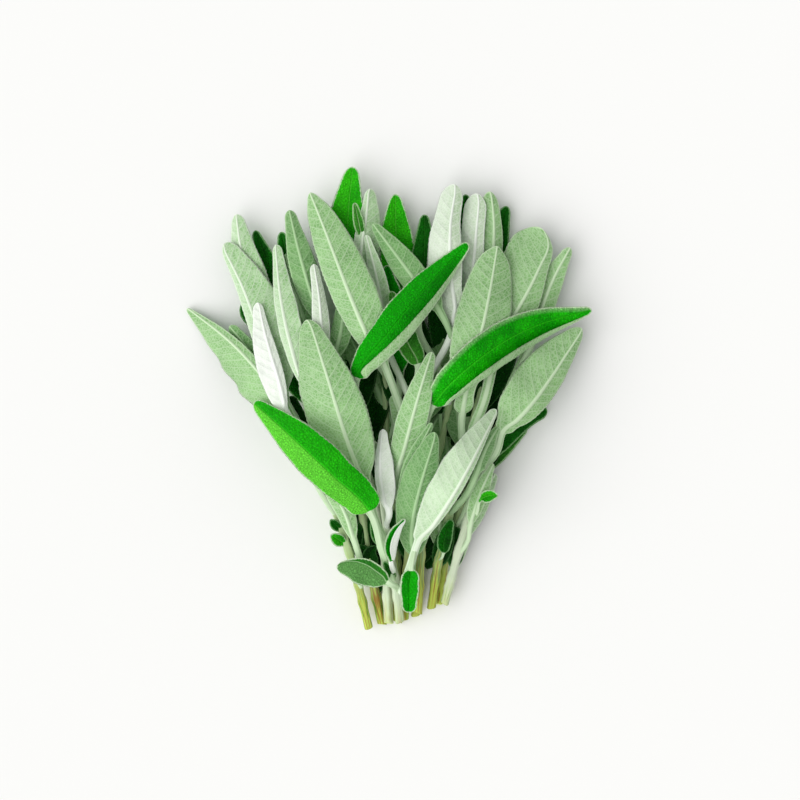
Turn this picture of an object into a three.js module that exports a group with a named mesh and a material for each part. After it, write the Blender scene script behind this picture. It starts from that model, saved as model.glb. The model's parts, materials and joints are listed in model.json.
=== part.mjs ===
// A bunch of fresh cut sage, lying down on the surface that it rests on.
// Eleven sprigs lie together with their cut ends side by side. Each is a stem that carries stalked leaves.
//
// Frame: millimetres, +Z up. +Y runs from the cut ends to the leaf tips and X runs across the fan.
// The pieces are laid one after another, as they are when a bunch is laid down. Each has a shape of its own, as it
// would hang in the air, and is then lifted smoothly until it clears everything that already lies beneath it.

import * as THREE from "three";

// ---- Driving dimensions -------------------------------------------------------------------------------

const AIR = 0.4; // clear air between two pieces that touch
const STEM_RADIUS_CUT = 2.35;
const STEM_RADIUS_TIP = 1.25;
const STEM_SIDES = 6;
const STEM_RINGS = 10;
const STEM_RAMP = 55; // a woody stem only bends over this length
const STEM_FALL = 90;
const LEAF_RAMP = 9; // a leaf bends over this length where it has to climb
const LEAF_FALL = 55; // and sinks back over this length
const LIFT_ROUNDS = 400;
const BLADE_THICKNESS = 1.0;
const STALK_HALF_WIDTH = 1.1;
const STALK_THICKNESS = 1.7;
const KEEL = 0.35; // how far the midrib stands out below the blade
const FOLD = 0.24; // how steeply a blade folds along its midrib
const SPRUNG = -0.2; // the fold of a leaf that has sprung back
const ARCH_PALE = 3.5; // a leaf that shows its underside arches upwards by this much
const ARCH_GREEN = -1.5; // one that shows its upper side hangs through a little
const LEAN_PER_MM = 0.22; // degrees that a leaf leans outwards for each mm from the middle of the fan
const TIP_HALF_WIDTH = 0.9; // half width left at the very tip
const BASE_SKEW = 0.86; // below 1 the blade is broadest below its middle
const STALK_STATIONS = [0, 0.45, 0.9];
const BLADE_STATIONS = [0.05, 0.14, 0.27, 0.43, 0.6, 0.76, 0.89, 1];
const FINE_STEP = 1.2; // spacing of the points that are tested for clearance
const GRID_CELL = 0.6;
const GRID_X = 125;
const GRID_LOW_Y = -20;
const GRID_HIGH_Y = 235;

// ---- Finishes -----------------------------------------------------------------------------------------

const leafUpperSide = new THREE.MeshStandardMaterial({ color: 0x1c8a14, roughness: 0.75, metalness: 0 });
const leafUnderside = new THREE.MeshStandardMaterial({ color: 0xa9c99b, roughness: 0.9, metalness: 0 });
const stemSkin = new THREE.MeshStandardMaterial({ color: 0xa8bd5a, roughness: 0.8, metalness: 0 });

// Which side of a leaf looks up as the bunch lies.
const GREEN = "upper side";
const PALE = "underside";

// How full a blade's outline is: the power of the sine that it follows.
const LANCE = 0.74;
const BLUNT = 0.5;

// ---- The sprigs, from the surface upwards -------------------------------------------------------------
// path: the stem's line in plan, from its cut end. height: its axis at the cut end and at the tip.
// A leaf grows from its stem at the stated Y. base and tip are the ends of its blade in plan, and width is its
// widest. bow is its sideways bend at half length, to the left, lift the rise of its tip over its root, and roll
// its extra lean in degrees, left edge down. fold is the rise of its edges over its midrib, as a share of its half
// width: a leaf folds towards its upper side, unless it has sprung back over the leaves beneath.

function green(name, at, base, tip, width, bends) {
  return { name, at, base, tip, width, up: GREEN, form: LANCE, fold: FOLD, ...bends };
}

function pale(name, at, base, tip, width, bends) {
  return { name, at, base, tip, width, up: PALE, form: LANCE, fold: -FOLD, ...bends };
}

const SPRIGS = [
  {
    name: "back_centre",
    path: [[-1, 2], [-2, 40], [-6, 90], [-7, 130]],
    height: [2.5, 9],
    leaves: [
      green("top_broad", 122, [1, 146], [-2, 194], 16, { bow: 1, lift: 2, roll: -6 }),
      green("crown", 118, [-22, 142], [-21, 206], 19, { bow: 2, lift: 4, roll: 8 }),
      pale("crown_side", 128, [-19, 152], [-13, 196], 10, { bow: -2, lift: 4, roll: -14 }),
      green("inner", 84, [0, 112], [-6, 162], 13, { bow: -1, lift: -3, roll: 5 }),
    ],
  },
  {
    name: "back_left",
    path: [[-8, 1], [-13, 25], [-17, 52], [-27, 88], [-38, 122]],
    height: [2.5, 9],
    leaves: [
      green("high", 112, [-46, 136], [-65, 178], 12, { bow: 1, lift: -2, roll: 6 }),
      green("high_inner", 118, [-38, 138], [-53, 177], 12, { bow: 2, lift: 1, roll: -5 }),
      green("low", 80, [-40, 98], [-71, 146], 13, { bow: -2, lift: -6, roll: 4 }),
      pale("middle", 98, [-36, 121], [-51, 167], 11, { bow: 1, lift: -2, roll: -4 }),
    ],
  },
  {
    name: "back_right",
    path: [[7, 5], [10, 40], [19, 85], [28, 128]],
    height: [2.5, 9],
    leaves: [
      green("inner", 110, [8, 134], [11, 185], 13, { bow: -1, lift: -3, roll: 6 }),
      green("outer", 116, [38, 142], [48, 189], 14, { bow: 2, lift: -3, roll: 4 }),
      pale("high", 122, [37, 148], [40, 195], 12, { bow: -2, lift: 3, roll: -8, form: BLUNT }),
      pale("straight", 103, [28, 134], [34, 194], 12, { bow: 0, lift: 3, roll: 12, form: BLUNT }),
    ],
  },
  {
    name: "far_right_back",
    path: [[17, 10], [22, 38], [34, 70], [50, 104]],
    height: [2.5, 9],
    leaves: [
      green("low", 42, [36, 72], [66, 98], 9, { bow: 3, lift: -5, roll: 2 }),
      pale("high", 94, [55, 122], [73, 160], 10, { bow: 1, lift: -3, roll: -8 }),
      pale("top", 99, [59, 128], [76, 170], 12, { bow: 2, lift: 2, roll: 6 }),
    ],
  },
  {
    name: "far_left",
    path: [[-14, 0], [-21, 28], [-29, 52], [-44, 84], [-56, 112]],
    height: [7, 16],
    leaves: [
      pale("top", 104, [-55, 130], [-73, 185], 13, { bow: 3, lift: -5, roll: 0 }),
      pale("side", 90, [-56, 107], [-76, 135], 9, { bow: -1, lift: -4, roll: 6 }),
      pale("long", 84, [-50, 102], [-78, 172], 18.5, { bow: -4.5, lift: -3, roll: 2 }),
      pale("spread", 54, [-43, 80], [-96, 143], 16, { bow: -2.5, lift: -9, roll: 4 }),
      pale("low", 20, [-22, 38], [-42, 74], 9, { bow: -3, lift: -1, roll: 5 }),
    ],
  },
  {
    name: "left",
    path: [[-5, 2], [-7, 35], [-16, 75], [-26, 112]],
    height: [7, 17],
    leaves: [
      pale("high", 106, [-34, 134], [-49, 186], 10, { bow: 1, lift: 3, roll: -12 }),
      pale("inner", 94, [-29, 118], [-23, 157], 10, { bow: -1, lift: 0, roll: 10 }),
      pale("narrow", 82, [-35, 110], [-38, 162], 8, { bow: -2, lift: 4, roll: -18 }),
      pale("middle", 76, [-40, 106], [-55, 171], 11, { bow: 2, lift: 0, roll: 8 }),
      pale("outer", 66, [-49, 95], [-63, 145], 10, { bow: 2, lift: 3, roll: -14 }),
    ],
  },
  {
    name: "centre",
    path: [[2, 4], [4, 42], [6, 85], [10, 122]],
    height: [7, 17],
    leaves: [
      pale("narrow", 102, [-5, 124], [-15, 175], 9, { bow: -1, lift: 2, roll: 12 }),
      green("folded", 98, [8, 117], [-4, 150], 11, { bow: 1, lift: -1, roll: -6 }),
      pale("high", 110, [23, 134], [24, 198], 15, { bow: 4, lift: -1, roll: 10 }),
      pale("crossing", 116, [18, 139], [-12, 180], 13, { bow: 0, lift: 1, roll: 14 }),
      pale("broad", 90, [-7, 118], [-40, 194], 20, { bow: 0, lift: 0, roll: 4, form: BLUNT }),
    ],
  },
  {
    name: "far_right",
    path: [[20, 11], [25, 30], [32, 55], [42, 84], [50, 104]],
    height: [7, 17],
    leaves: [
      pale("broad", 76, [45, 88], [81, 134], 21, { bow: 1, lift: -7, roll: -2 }),
      green("bud_leaf", 50, [35, 58], [43, 60], 6, { bow: 1, lift: 1, roll: 0 }),
      pale("low", 36, [31, 46], [41, 74], 8, { bow: 1, lift: -2, roll: -6 }),
    ],
  },
  {
    name: "right",
    path: [[14, 9], [18, 35], [25, 62], [31, 88], [36, 108]],
    height: [7, 18],
    leaves: [
      pale("outer", 86, [42, 122], [62, 179], 24, { bow: 0, lift: -3, roll: 0, form: BLUNT }),
      pale("broad", 80, [29, 106], [43, 170], 25, { bow: -1, lift: 0, roll: -3, form: BLUNT }),
      pale("low", 56, [33, 70], [43, 90], 8, { bow: 1, lift: 0, roll: -8 }),
    ],
  },
  {
    name: "front_right",
    path: [[8, 7], [9, 28], [11, 58], [13, 84]],
    height: [11.5, 22],
    leaves: [
      green("arching", 80, [14, 99], [85, 142], 18, { bow: 8, lift: -4, roll: -6, fold: SPRUNG }),
      pale("middle", 48, [-2, 62], [14, 123], 14, { bow: 1, lift: 5, roll: 6 }),
      pale("narrow", 44, [1, 54], [14, 92], 8, { bow: 2, lift: 3, roll: -14 }),
      green("bud_leaf", 26, [19, 33], [23, 49], 7, { bow: 1, lift: 1, roll: -6 }),
      pale("low", 20, [6, 33], [15, 88], 18, { bow: 3, lift: 5, roll: 6 }),
    ],
  },
  {
    name: "front",
    path: [[0, 3], [-2, 21], [-6, 45], [-9, 66], [-11, 84]],
    height: [11.5, 23],
    leaves: [
      green("slanting", 82, [-19, 111], [30, 171], 17, { bow: 2, lift: 1, roll: 10, fold: SPRUNG }),
      pale("pointed", 44, [-7, 52], [-10, 89], 9, { bow: 1, lift: 5, roll: 14 }),
      pale("broad", 40, [-15, 64], [-41, 137], 27, { bow: 1.5, lift: 2, roll: 2 }),
      green("spread", 23, [-13, 53], [-64, 101], 19.5, { bow: -1.3, lift: -6, roll: 4, fold: SPRUNG }),
      green("curled", 21, [-4, 30], [2, 50], 5.5, { bow: 3, lift: 4, roll: -20 }),
      pale("slender", 19, [8, 40], [42, 98], 14, { bow: 2, lift: 3, roll: -8 }),
      green("hanging", 25, [4.5, 28], [4, 8], 8.5, { bow: 0, lift: -3, roll: 0 }),
      green("cross", 16, [-5, 21], [-28, 28], 12, { bow: -2, lift: -1, roll: 8 }),
    ],
  },
];

// ---- Curves and profiles ------------------------------------------------------------------------------

const lerp = THREE.MathUtils.lerp;
const clamp = THREE.MathUtils.clamp;

// Rises from 0 to 1 with level ends.
function smooth(t) {
  const c = clamp(t, 0, 1);
  return c * c * (3 - 2 * c);
}

// A smooth plan curve through points, read by its length.
function planCurve(points) {
  const vectors = points.map(([x, y]) => new THREE.Vector3(x, y, 0));
  const curve = new THREE.CatmullRomCurve3(vectors, false, "centripetal");
  curve.arcLengthDivisions = 400;
  return curve;
}

// The share of a stem's length at which its plan line reaches the stated Y.
function shareAtY(curve, y) {
  let low = 0;
  let high = 1;
  for (let k = 0; k < 30; k++) {
    const middle = (low + high) / 2;
    if (curve.getPointAt(middle).y < y) {
      low = middle;
    } else {
      high = middle;
    }
  }
  return (low + high) / 2;
}

// Half width of a sage blade at share u of its length, for a widest half width of 1: broad below the middle,
// rounded at the base and drawn out towards the tip.
function bladeOutline(u, form) {
  return Math.pow(Math.max(Math.sin(Math.PI * Math.pow(clamp(u, 0, 1), BASE_SKEW)), 0), form);
}

// ---- What already lies beneath ------------------------------------------------------------------------

// The highest surface so far over each cell of the plan. It starts one gap below zero, so a piece can rest at zero.
class Surface {
  constructor() {
    this.columns = Math.ceil((2 * GRID_X) / GRID_CELL);
    this.rows = Math.ceil((GRID_HIGH_Y - GRID_LOW_Y) / GRID_CELL);
    this.top = new Float32Array(this.columns * this.rows).fill(-AIR);
  }

  cell(x, y) {
    const column = Math.round((x + GRID_X) / GRID_CELL);
    const row = Math.round((y - GRID_LOW_Y) / GRID_CELL);
    return [clamp(column, 1, this.columns - 2), clamp(row, 1, this.rows - 2)];
  }

  at(x, y) {
    const [column, row] = this.cell(x, y);
    return this.top[row * this.columns + column];
  }

  // Marks a point of a piece's upper surface, with the cells around it.
  raise(x, y, z) {
    const [column, row] = this.cell(x, y);
    for (let r = row - 1; r <= row + 1; r++) {
      for (let c = column - 1; c <= column + 1; c++) {
        const k = r * this.columns + c;
        this.top[k] = Math.max(this.top[k], z);
      }
    }
  }
}

const surface = new Surface();

// Lifts heights z, spaced evenly over length, until each is at least what floor asks. Each lift rises smoothly
// over the ramp before the point that needed it, or all the way from the root, and sinks back over fall.
function liftClear(z, floor, length, ramp, fall) {
  const step = length / (z.length - 1);
  for (let round = 0; round < LIFT_ROUNDS; round++) {
    let worst = 0.01;
    let where = -1;
    z.forEach((height, k) => {
      if (floor[k] - height > worst) {
        worst = floor[k] - height;
        where = k;
      }
    });
    if (where < 0) return;
    const before = Math.max(where * step, ramp);
    z.forEach((height, k) => {
      const past = (k - where) * step;
      z[k] = height + worst * (past < 0 ? smooth(1 + past / before) : 1 - smooth(past / fall));
    });
  }
}

// A closed tube through rings of corners, made from an open-ended cylinder's grid and its two end fans.
// rings[r][c] is a corner; the corners of a ring turn from up to the right, seen along the piece.
function loft(rings) {
  const sides = rings[0].length;
  const geometry = new THREE.CylinderGeometry(1, 1, 1, sides, rings.length - 1);
  const position = geometry.getAttribute("position");
  const middle = rings.map((ring) => {
    const sum = new THREE.Vector3();
    ring.forEach((corner) => sum.add(corner));
    return sum.divideScalar(sides);
  });
  for (let k = 0; k < position.count; k++) {
    const x = position.getX(k);
    const z = position.getZ(k);
    const ring = Math.round((position.getY(k) + 0.5) * (rings.length - 1));
    const onAxis = Math.hypot(x, z) < 0.5;
    const corner = (Math.round((Math.atan2(x, z) / (2 * Math.PI)) * sides) + sides) % sides;
    const p = onAxis ? middle[ring] : rings[ring][corner];
    position.setXYZ(k, p.x, p.y, p.z);
  }
  geometry.computeVertexNormals();
  return geometry;
}

// Position, forward and left directions in plan at share s of a curve.
function planAt(curve, s) {
  const share = clamp(s, 0, 1);
  const point = curve.getPointAt(share);
  const ahead = curve.getTangentAt(share).setZ(0).normalize();
  return { point, ahead, left: new THREE.Vector3(-ahead.y, ahead.x, 0) };
}

// ---- Stems --------------------------------------------------------------------------------------------

// Works out a stem's heights, marks it on the surface and returns what its leaves need.
function layStem(sprig) {
  const curve = planCurve(sprig.path);
  const length = curve.getLength();
  const count = Math.ceil(length / FINE_STEP);
  const radiusAt = (s) => lerp(STEM_RADIUS_CUT, STEM_RADIUS_TIP, s);
  const z = [];
  const floor = [];
  for (let k = 0; k <= count; k++) {
    const s = k / count;
    const { point, left } = planAt(curve, s);
    const radius = radiusAt(s);
    let need = -Infinity;
    for (let v = -1; v <= 1; v += 0.25) {
      const under = surface.at(point.x + left.x * v * radius, point.y + left.y * v * radius);
      need = Math.max(need, under + AIR + radius * Math.sqrt(1 - v * v));
    }
    floor.push(need);
    z.push(lerp(sprig.height[0], sprig.height[1], smooth(0.15 + 0.85 * s) * s + (1 - s) * s * 0.5));
  }
  liftClear(z, floor, length, STEM_RAMP, STEM_FALL);
  const heightAt = (s) => {
    const k = clamp(s, 0, 1) * count;
    const low = Math.min(Math.floor(k), count - 1);
    return lerp(z[low], z[low + 1], k - low);
  };
  for (let k = 0; k <= count * 2; k++) {
    const s = k / (count * 2);
    const { point, left } = planAt(curve, s);
    const radius = radiusAt(s);
    for (let v = -1; v <= 1; v += 0.25)
      surface.raise(
        point.x + left.x * v * radius,
        point.y + left.y * v * radius,
        heightAt(s) + radius * Math.sqrt(1 - v * v),
      );
  }
  return { curve, length, radiusAt, heightAt };
}

function stemMesh(sprig, stem) {
  const rings = [];
  for (let r = 0; r < STEM_RINGS; r++) {
    const s = r / (STEM_RINGS - 1);
    const { point, left } = planAt(stem.curve, s);
    const ring = [];
    for (let c = 0; c < STEM_SIDES; c++) {
      const angle = (2 * Math.PI * c) / STEM_SIDES;
      const radius = stem.radiusAt(s);
      const corner = point.clone().addScaledVector(left, -Math.sin(angle) * radius);
      ring.push(corner.setZ(stem.heightAt(s) + Math.cos(angle) * radius));
    }
    rings.push(ring);
  }
  const mesh = new THREE.Mesh(loft(rings), stemSkin);
  mesh.name = `stem_${sprig.name}`;
  return mesh;
}

// ---- Leaves -------------------------------------------------------------------------------------------

// Where a leaf's stalk starts: beside its stem, on the side that its blade lies on.
function stalkRoot(leaf, stem) {
  const share = shareAtY(stem.curve, leaf.at);
  const { point, left } = planAt(stem.curve, share);
  const toBase = new THREE.Vector3(leaf.base[0], leaf.base[1], 0).sub(point);
  const reach = stem.radiusAt(share) + STALK_HALF_WIDTH + AIR;
  const root = point.clone().addScaledVector(left, Math.sign(toBase.dot(left)) * reach);
  return { root, height: stem.heightAt(share) };
}

// The shape of one leaf, apart from its height: its plan curve, where the blade starts, and its cross-section.
function leafShape(leaf, root) {
  const [bx, by] = leaf.base;
  const [tx, ty] = leaf.tip;
  const bladeLength = Math.hypot(tx - bx, ty - by);
  const side = [-(ty - by) / bladeLength, (tx - bx) / bladeLength];
  const bowed = (u) => {
    const sag = leaf.bow * 4 * u * (1 - u);
    return [lerp(bx, tx, u) + side[0] * sag, lerp(by, ty, u) + side[1] * sag];
  };
  const curve = planCurve([[root.x, root.y], leaf.base, bowed(0.33), bowed(0.67), leaf.tip]);
  const length = curve.getLength();
  let bladeStart = 0;
  const base = new THREE.Vector3(bx, by, 0);
  for (let k = 1, nearest = Infinity; k <= 200; k++) {
    const distance = curve.getPointAt(k / 200).distanceTo(base);
    if (distance < nearest) {
      nearest = distance;
      bladeStart = k / 200;
    }
  }
  const middleX = (bx + tx) / 2;
  const roll = THREE.MathUtils.degToRad(leaf.roll - LEAN_PER_MM * middleX);
  // Half width, thickness and the height offset of a point at v across, -1 at the right edge and 1 at the left.
  const section = (s) => {
    const u = (s - bladeStart) / (1 - bladeStart);
    const opened = smooth(u / 0.12);
    const outline = bladeOutline(u, leaf.form) * (leaf.width / 2);
    const half = Math.max(lerp(STALK_HALF_WIDTH, outline, opened), TIP_HALF_WIDTH);
    const thickness = lerp(STALK_THICKNESS, BLADE_THICKNESS * lerp(1, 0.7, clamp(u, 0, 1)), opened);
    const turned = roll * smooth(s / Math.max(bladeStart, 0.05));
    const offset = (v) => half * (leaf.fold * opened * Math.abs(v) - Math.sin(turned) * v);
    return { half: half * Math.cos(turned), thickness, offset, opened };
  };
  return { leaf, curve, length, bladeStart, section };
}

// Works out a leaf's heights from its stem outwards, and marks it on the surface.
function layLeaf(leaf, stem) {
  const { root, height: rootHeight } = stalkRoot(leaf, stem);
  const shape = leafShape(leaf, root);
  const { curve, length, section } = shape;
  const count = Math.ceil(length / FINE_STEP);
  const across = [-1.05, -0.85, -0.65, -0.45, -0.25, 0, 0.25, 0.45, 0.65, 0.85, 1.05];
  const arch = leaf.up === GREEN ? ARCH_GREEN : ARCH_PALE;
  const z = [];
  const floor = [];
  for (let k = 0; k <= count; k++) {
    const s = k / count;
    const { point, left } = planAt(curve, s);
    const { half, thickness, offset } = section(s);
    let need = -Infinity;
    for (const v of across) {
      const under = surface.at(point.x + left.x * v * half, point.y + left.y * v * half);
      need = Math.max(need, under + AIR + thickness / 2 + KEEL * (1 - Math.abs(v)) - offset(v));
    }
    floor.push(need);
    z.push(rootHeight + leaf.lift * (1.5 * s - 0.5 * s * s) + arch * Math.sin(Math.PI * s) * s);
  }
  liftClear(z, floor, length, LEAF_RAMP, LEAF_FALL);
  const heightAt = (s) => {
    const k = clamp(s, 0, 1) * count;
    const low = Math.min(Math.floor(k), count - 1);
    return lerp(z[low], z[low + 1], k - low);
  };
  const fine = count * 2;
  for (let k = 0; k <= fine; k++) {
    const s = k / fine;
    const { point, left } = planAt(curve, s);
    const { half, thickness, offset } = section(s);
    for (let v = -1; v <= 1.001; v += 0.1)
      surface.raise(
        point.x + left.x * v * half,
        point.y + left.y * v * half,
        heightAt(s) + offset(v) + (thickness / 2 + KEEL) * (1 - Math.abs(v) * 0.8),
      );
  }
  return { ...shape, heightAt };
}

function leafMesh(sprig, laid) {
  const { leaf, curve, bladeStart, section, heightAt } = laid;
  const stations = [
    ...STALK_STATIONS.map((share) => share * bladeStart),
    ...BLADE_STATIONS.map((share) => lerp(bladeStart, 1, share)),
  ];
  const greenUp = leaf.up === GREEN;
  const rings = stations.map((s) => {
    const { point, left } = planAt(curve, s);
    const { half, thickness, offset, opened } = section(s);
    const keel = thickness / 2 + KEEL * opened;
    const at = (v, rise) =>
      point
        .clone()
        .addScaledVector(left, v * half)
        .setZ(heightAt(s) + offset(v) + rise);
    const thin = thickness * 0.45;
    // Three corners on the underside of the blade and one on its upper side, whichever of them looks up.
    return greenUp
      ? [at(0, thickness / 2), at(-1, 0), at(-0.5, -thin), at(0, -keel), at(0.5, -thin), at(1, 0)]
      : [at(0, keel), at(-0.5, thin), at(-1, 0), at(0, -thickness / 2), at(1, 0), at(0.5, thin)];
  });
  const mesh = new THREE.Mesh(loft(rings), greenUp ? leafUpperSide : leafUnderside);
  mesh.name = `leaf_${sprig.name}_${leaf.name}`;
  return mesh;
}

// ---- The bunch ----------------------------------------------------------------------------------------

const bunch = new THREE.Group();
for (const sprig of SPRIGS) {
  const stem = layStem(sprig);
  bunch.add(stemMesh(sprig, stem));
  for (const leaf of sprig.leaves) bunch.add(leafMesh(sprig, layLeaf(leaf, stem)));
}

// The origin is the middle of the bunch's outline, on the surface that it lies on.
const outline = new THREE.Box3().setFromObject(bunch, true);
const centre = outline.getCenter(new THREE.Vector3());
bunch.position.set(-centre.x, -centre.y, -outline.min.z);

const part = new THREE.Group();
part.add(bunch);

export default part;
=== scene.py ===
"""A bunch of fresh cut sage, lying on a pale floor and looked down on.

The frame's plain lofts give each leaf's and stem's line, width, fold and roll. The classes here turn them
into veined and puckered blades with downy margins, channelled stalks and squarish stems with cut ends, and
grow the small leaves that fill the bunch between them. Lengths are in millimetres until a mesh is made.
"""

import json
import logging
import math
from dataclasses import dataclass, field
from enum import Enum
from typing import ClassVar

import bpy
import numpy as np
from numpy.typing import NDArray
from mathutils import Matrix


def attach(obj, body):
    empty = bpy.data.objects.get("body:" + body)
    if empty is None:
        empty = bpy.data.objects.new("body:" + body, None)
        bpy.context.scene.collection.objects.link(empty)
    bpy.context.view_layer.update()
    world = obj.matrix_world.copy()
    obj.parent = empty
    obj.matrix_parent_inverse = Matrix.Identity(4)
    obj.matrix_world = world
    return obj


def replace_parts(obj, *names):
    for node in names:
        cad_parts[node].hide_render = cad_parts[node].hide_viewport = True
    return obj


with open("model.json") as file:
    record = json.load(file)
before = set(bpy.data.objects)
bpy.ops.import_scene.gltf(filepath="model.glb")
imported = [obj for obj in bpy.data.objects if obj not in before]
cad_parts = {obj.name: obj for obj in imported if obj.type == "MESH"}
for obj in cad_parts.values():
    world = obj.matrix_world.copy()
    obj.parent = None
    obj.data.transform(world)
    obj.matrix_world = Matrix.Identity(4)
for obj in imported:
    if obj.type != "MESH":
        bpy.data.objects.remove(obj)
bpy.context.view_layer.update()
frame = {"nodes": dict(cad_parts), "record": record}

MM = 0.001
BODY = "root"
UPPER_SLOT = "leaf_upper_side"

Array = NDArray[np.float64]
Mask = NDArray[np.bool_]
Socket = bpy.types.NodeSocket
Tree = bpy.types.NodeTree
Random = np.random.Generator

log = logging.getLogger("sage")


# ---- Small helpers ----


def linear(colour: str) -> tuple[float, float, float, float]:
    """Turns an sRGB hex colour into linear red, green, blue and alpha.

    Args:
        colour: six hex digits after a hash.

    Returns:
        The four linear values.
    """
    encoded = [int(colour[k : k + 2], 16) / 255 for k in (1, 3, 5)]
    red, green, blue = (c / 12.92 if c <= 0.04045 else ((c + 0.055) / 1.055) ** 2.4 for c in encoded)
    return (red, green, blue, 1.0)


def smooth(share: Array) -> Array:
    """Rises from 0 to 1 with level ends: 3 t^2 - 2 t^3 of the clipped share t.

    Args:
        share: where along the rise, 0 to 1.

    Returns:
        The risen share.
    """
    t = np.clip(share, 0, 1)
    return t * t * (3 - 2 * t)


def unit(vectors: Array) -> Array:
    """Returns the vectors in the last axis at length one."""
    return vectors / np.maximum(np.linalg.norm(vectors, axis=-1, keepdims=True), 1e-9)


def lengths(points: Array) -> Array:
    """Returns how far each point lies along the line through them all."""
    return np.concatenate([[0], np.cumsum(np.linalg.norm(np.diff(points, axis=0), axis=1))])


def seeded(name: str) -> Random:
    """Returns random numbers that are always the same for a name."""
    return np.random.default_rng(list(name.encode()))


def spline(knots: Array, values: Array, at: Array) -> Array:
    """A natural cubic spline: its bend is linear between the knots, continuous at them and 0 at the ends.

    Args:
        knots: rising parameter of each known row.
        values: the known rows.
        at: the parameters wanted.

    Returns:
        One row for each wanted parameter.
    """
    step = np.diff(knots)
    inner = np.arange(1, len(knots) - 1)
    system = np.eye(len(knots))
    system[inner, inner - 1] = step[:-1]
    system[inner, inner] = 2 * (step[:-1] + step[1:])
    system[inner, inner + 1] = step[1:]
    wanted = np.zeros_like(values)
    wanted[1:-1] = 6 * np.diff(np.diff(values, axis=0) / step[:, None], axis=0)
    bend = np.linalg.solve(system, wanted)
    k = np.clip(np.searchsorted(knots, at) - 1, 0, len(step) - 1)
    size = step[k][:, None]
    after = (at - knots[k])[:, None] / size
    before = 1 - after
    curved = (before**3 - before) * bend[k] + (after**3 - after) * bend[k + 1]
    return before * values[k] + after * values[k + 1] + curved * size**2 / 6


def tracked(knots: Array, values: Array, at: Array) -> Array:
    """A cubic that never overshoots: its slope at a knot is the harmonic mean of the slopes on both sides.

    Args:
        knots: rising parameter of each known value.
        values: the known values.
        at: the parameters wanted.

    Returns:
        One value for each wanted parameter.
    """
    step = np.diff(knots)
    slope = np.diff(values) / step
    both = slope[1:] * slope[:-1]
    total = slope[1:] + slope[:-1]
    inner = np.where(both > 0, 2 * both / np.where(total == 0, 1, total), 0)
    tangent = np.concatenate([slope[:1], inner, slope[-1:]])
    k = np.clip(np.searchsorted(knots, at) - 1, 0, len(step) - 1)
    t = (at - knots[k]) / step[k]
    rise = 3 * t**2 - 2 * t**3
    lead = (t**3 - 2 * t**2 + t) * tangent[k] + (t**3 - t**2) * tangent[k + 1]
    return values[k] * (1 - rise) + values[k + 1] * rise + lead * step[k]


def add(tree: Tree, kind: str, *feeds: object, out: str | int = 0, **named: object) -> Socket | None:
    """Adds a shader node and feeds its sockets, each from another node's socket or with a value.

    Args:
        tree: the material's node tree.
        kind: the node's type, without ShaderNode in front.
        feeds: what the node's first sockets get, in their own order.
        out: the name or number of the output wanted.
        named: what a socket gets, by its capitalised name with _ for a space, or the value of one of the
            node's own properties, by its lower-case name.

    Returns:
        The output wanted, or nothing from a node that has none.
    """
    node = tree.nodes.new("ShaderNode" + kind)
    sockets: dict[str | int, object] = dict(enumerate(feeds))
    for name, value in named.items():
        if name[0].isupper():
            sockets[name.replace("_", " ")] = value
        else:
            setattr(node, name, value)
    for name, value in sockets.items():
        if isinstance(value, Socket):
            tree.links.new(value, node.inputs[name])
        else:
            node.inputs[name].default_value = value
    return node.outputs[out] if node.outputs else None


def read(tree: Tree, mark: str) -> list[Socket]:
    """Returns the three numbers of a vector that the piece's mesh holds under the mark's name."""
    vector = add(tree, "Attribute", out="Vector", attribute_name=mark)
    return list(add(tree, "SeparateXYZ", vector).node.outputs)


# ---- What the frame says ----


@dataclass(frozen=True)
class Loft:
    """One of the frame's plain solids, read back as rings of corners from its base end, in millimetres."""

    corners: Array
    beside: Mask

    @classmethod
    def of_node(cls, name: str, thick_base: bool) -> "Loft":
        """Reads a node's rings, the corners that lie equally many edges from one of its two end poles.

        The poles are the corners that lie most edges apart.

        Args:
            name: the frame's node.
            thick_base: whether the base is the thicker end.

        Returns:
            The loft.
        """
        mesh = frame["nodes"][name].data
        loose = np.empty(len(mesh.vertices) * 3)
        mesh.vertices.foreach_get("co", loose)
        spots, same = np.unique(np.round(loose.reshape(-1, 3) / MM, 4), axis=0, return_inverse=True)
        mesh.calc_loop_triangles()
        thirds = np.empty(len(mesh.loop_triangles) * 3, np.int32)
        mesh.loop_triangles.foreach_get("vertices", thirds)
        faces = same.reshape(-1)[thirds].reshape(-1, 3)
        linked = np.zeros((len(spots), len(spots)), bool)
        linked[faces, np.roll(faces, 1, axis=1)] = True
        linked |= linked.T
        apart = cls.edges_apart(linked)
        pole = np.unravel_index(apart.argmax(), apart.shape)[0]
        rings = apart.max() - 1
        order = np.argsort(apart[pole], kind="stable")[1:-1].reshape(rings, -1)
        corners = spots[order]
        spread = np.linalg.norm(corners - corners.mean(axis=1, keepdims=True), axis=2).mean(axis=1)
        if (spread[1:3].sum() > spread[-3:-1].sum()) != thick_base:
            order = order[::-1]
        beside = linked[order[:, :, None], order[:, None, :]]
        return cls(spots[order], beside)

    @staticmethod
    def edges_apart(linked: Mask) -> NDArray[np.int64]:
        """Counts the edges between every two corners, by growing each corner's reach one edge at a time.

        Args:
            linked: whether an edge joins two corners.

        Returns:
            The number of edges between each two.
        """
        apart = linked.astype(np.int64)
        reached = linked | np.eye(len(linked), dtype=bool)
        edges = linked.astype(np.float32)
        while not reached.all():
            grown = (reached.astype(np.float32) @ edges) > 0
            apart[grown & ~reached] = apart.max() + 1
            reached |= grown
        return apart


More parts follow.
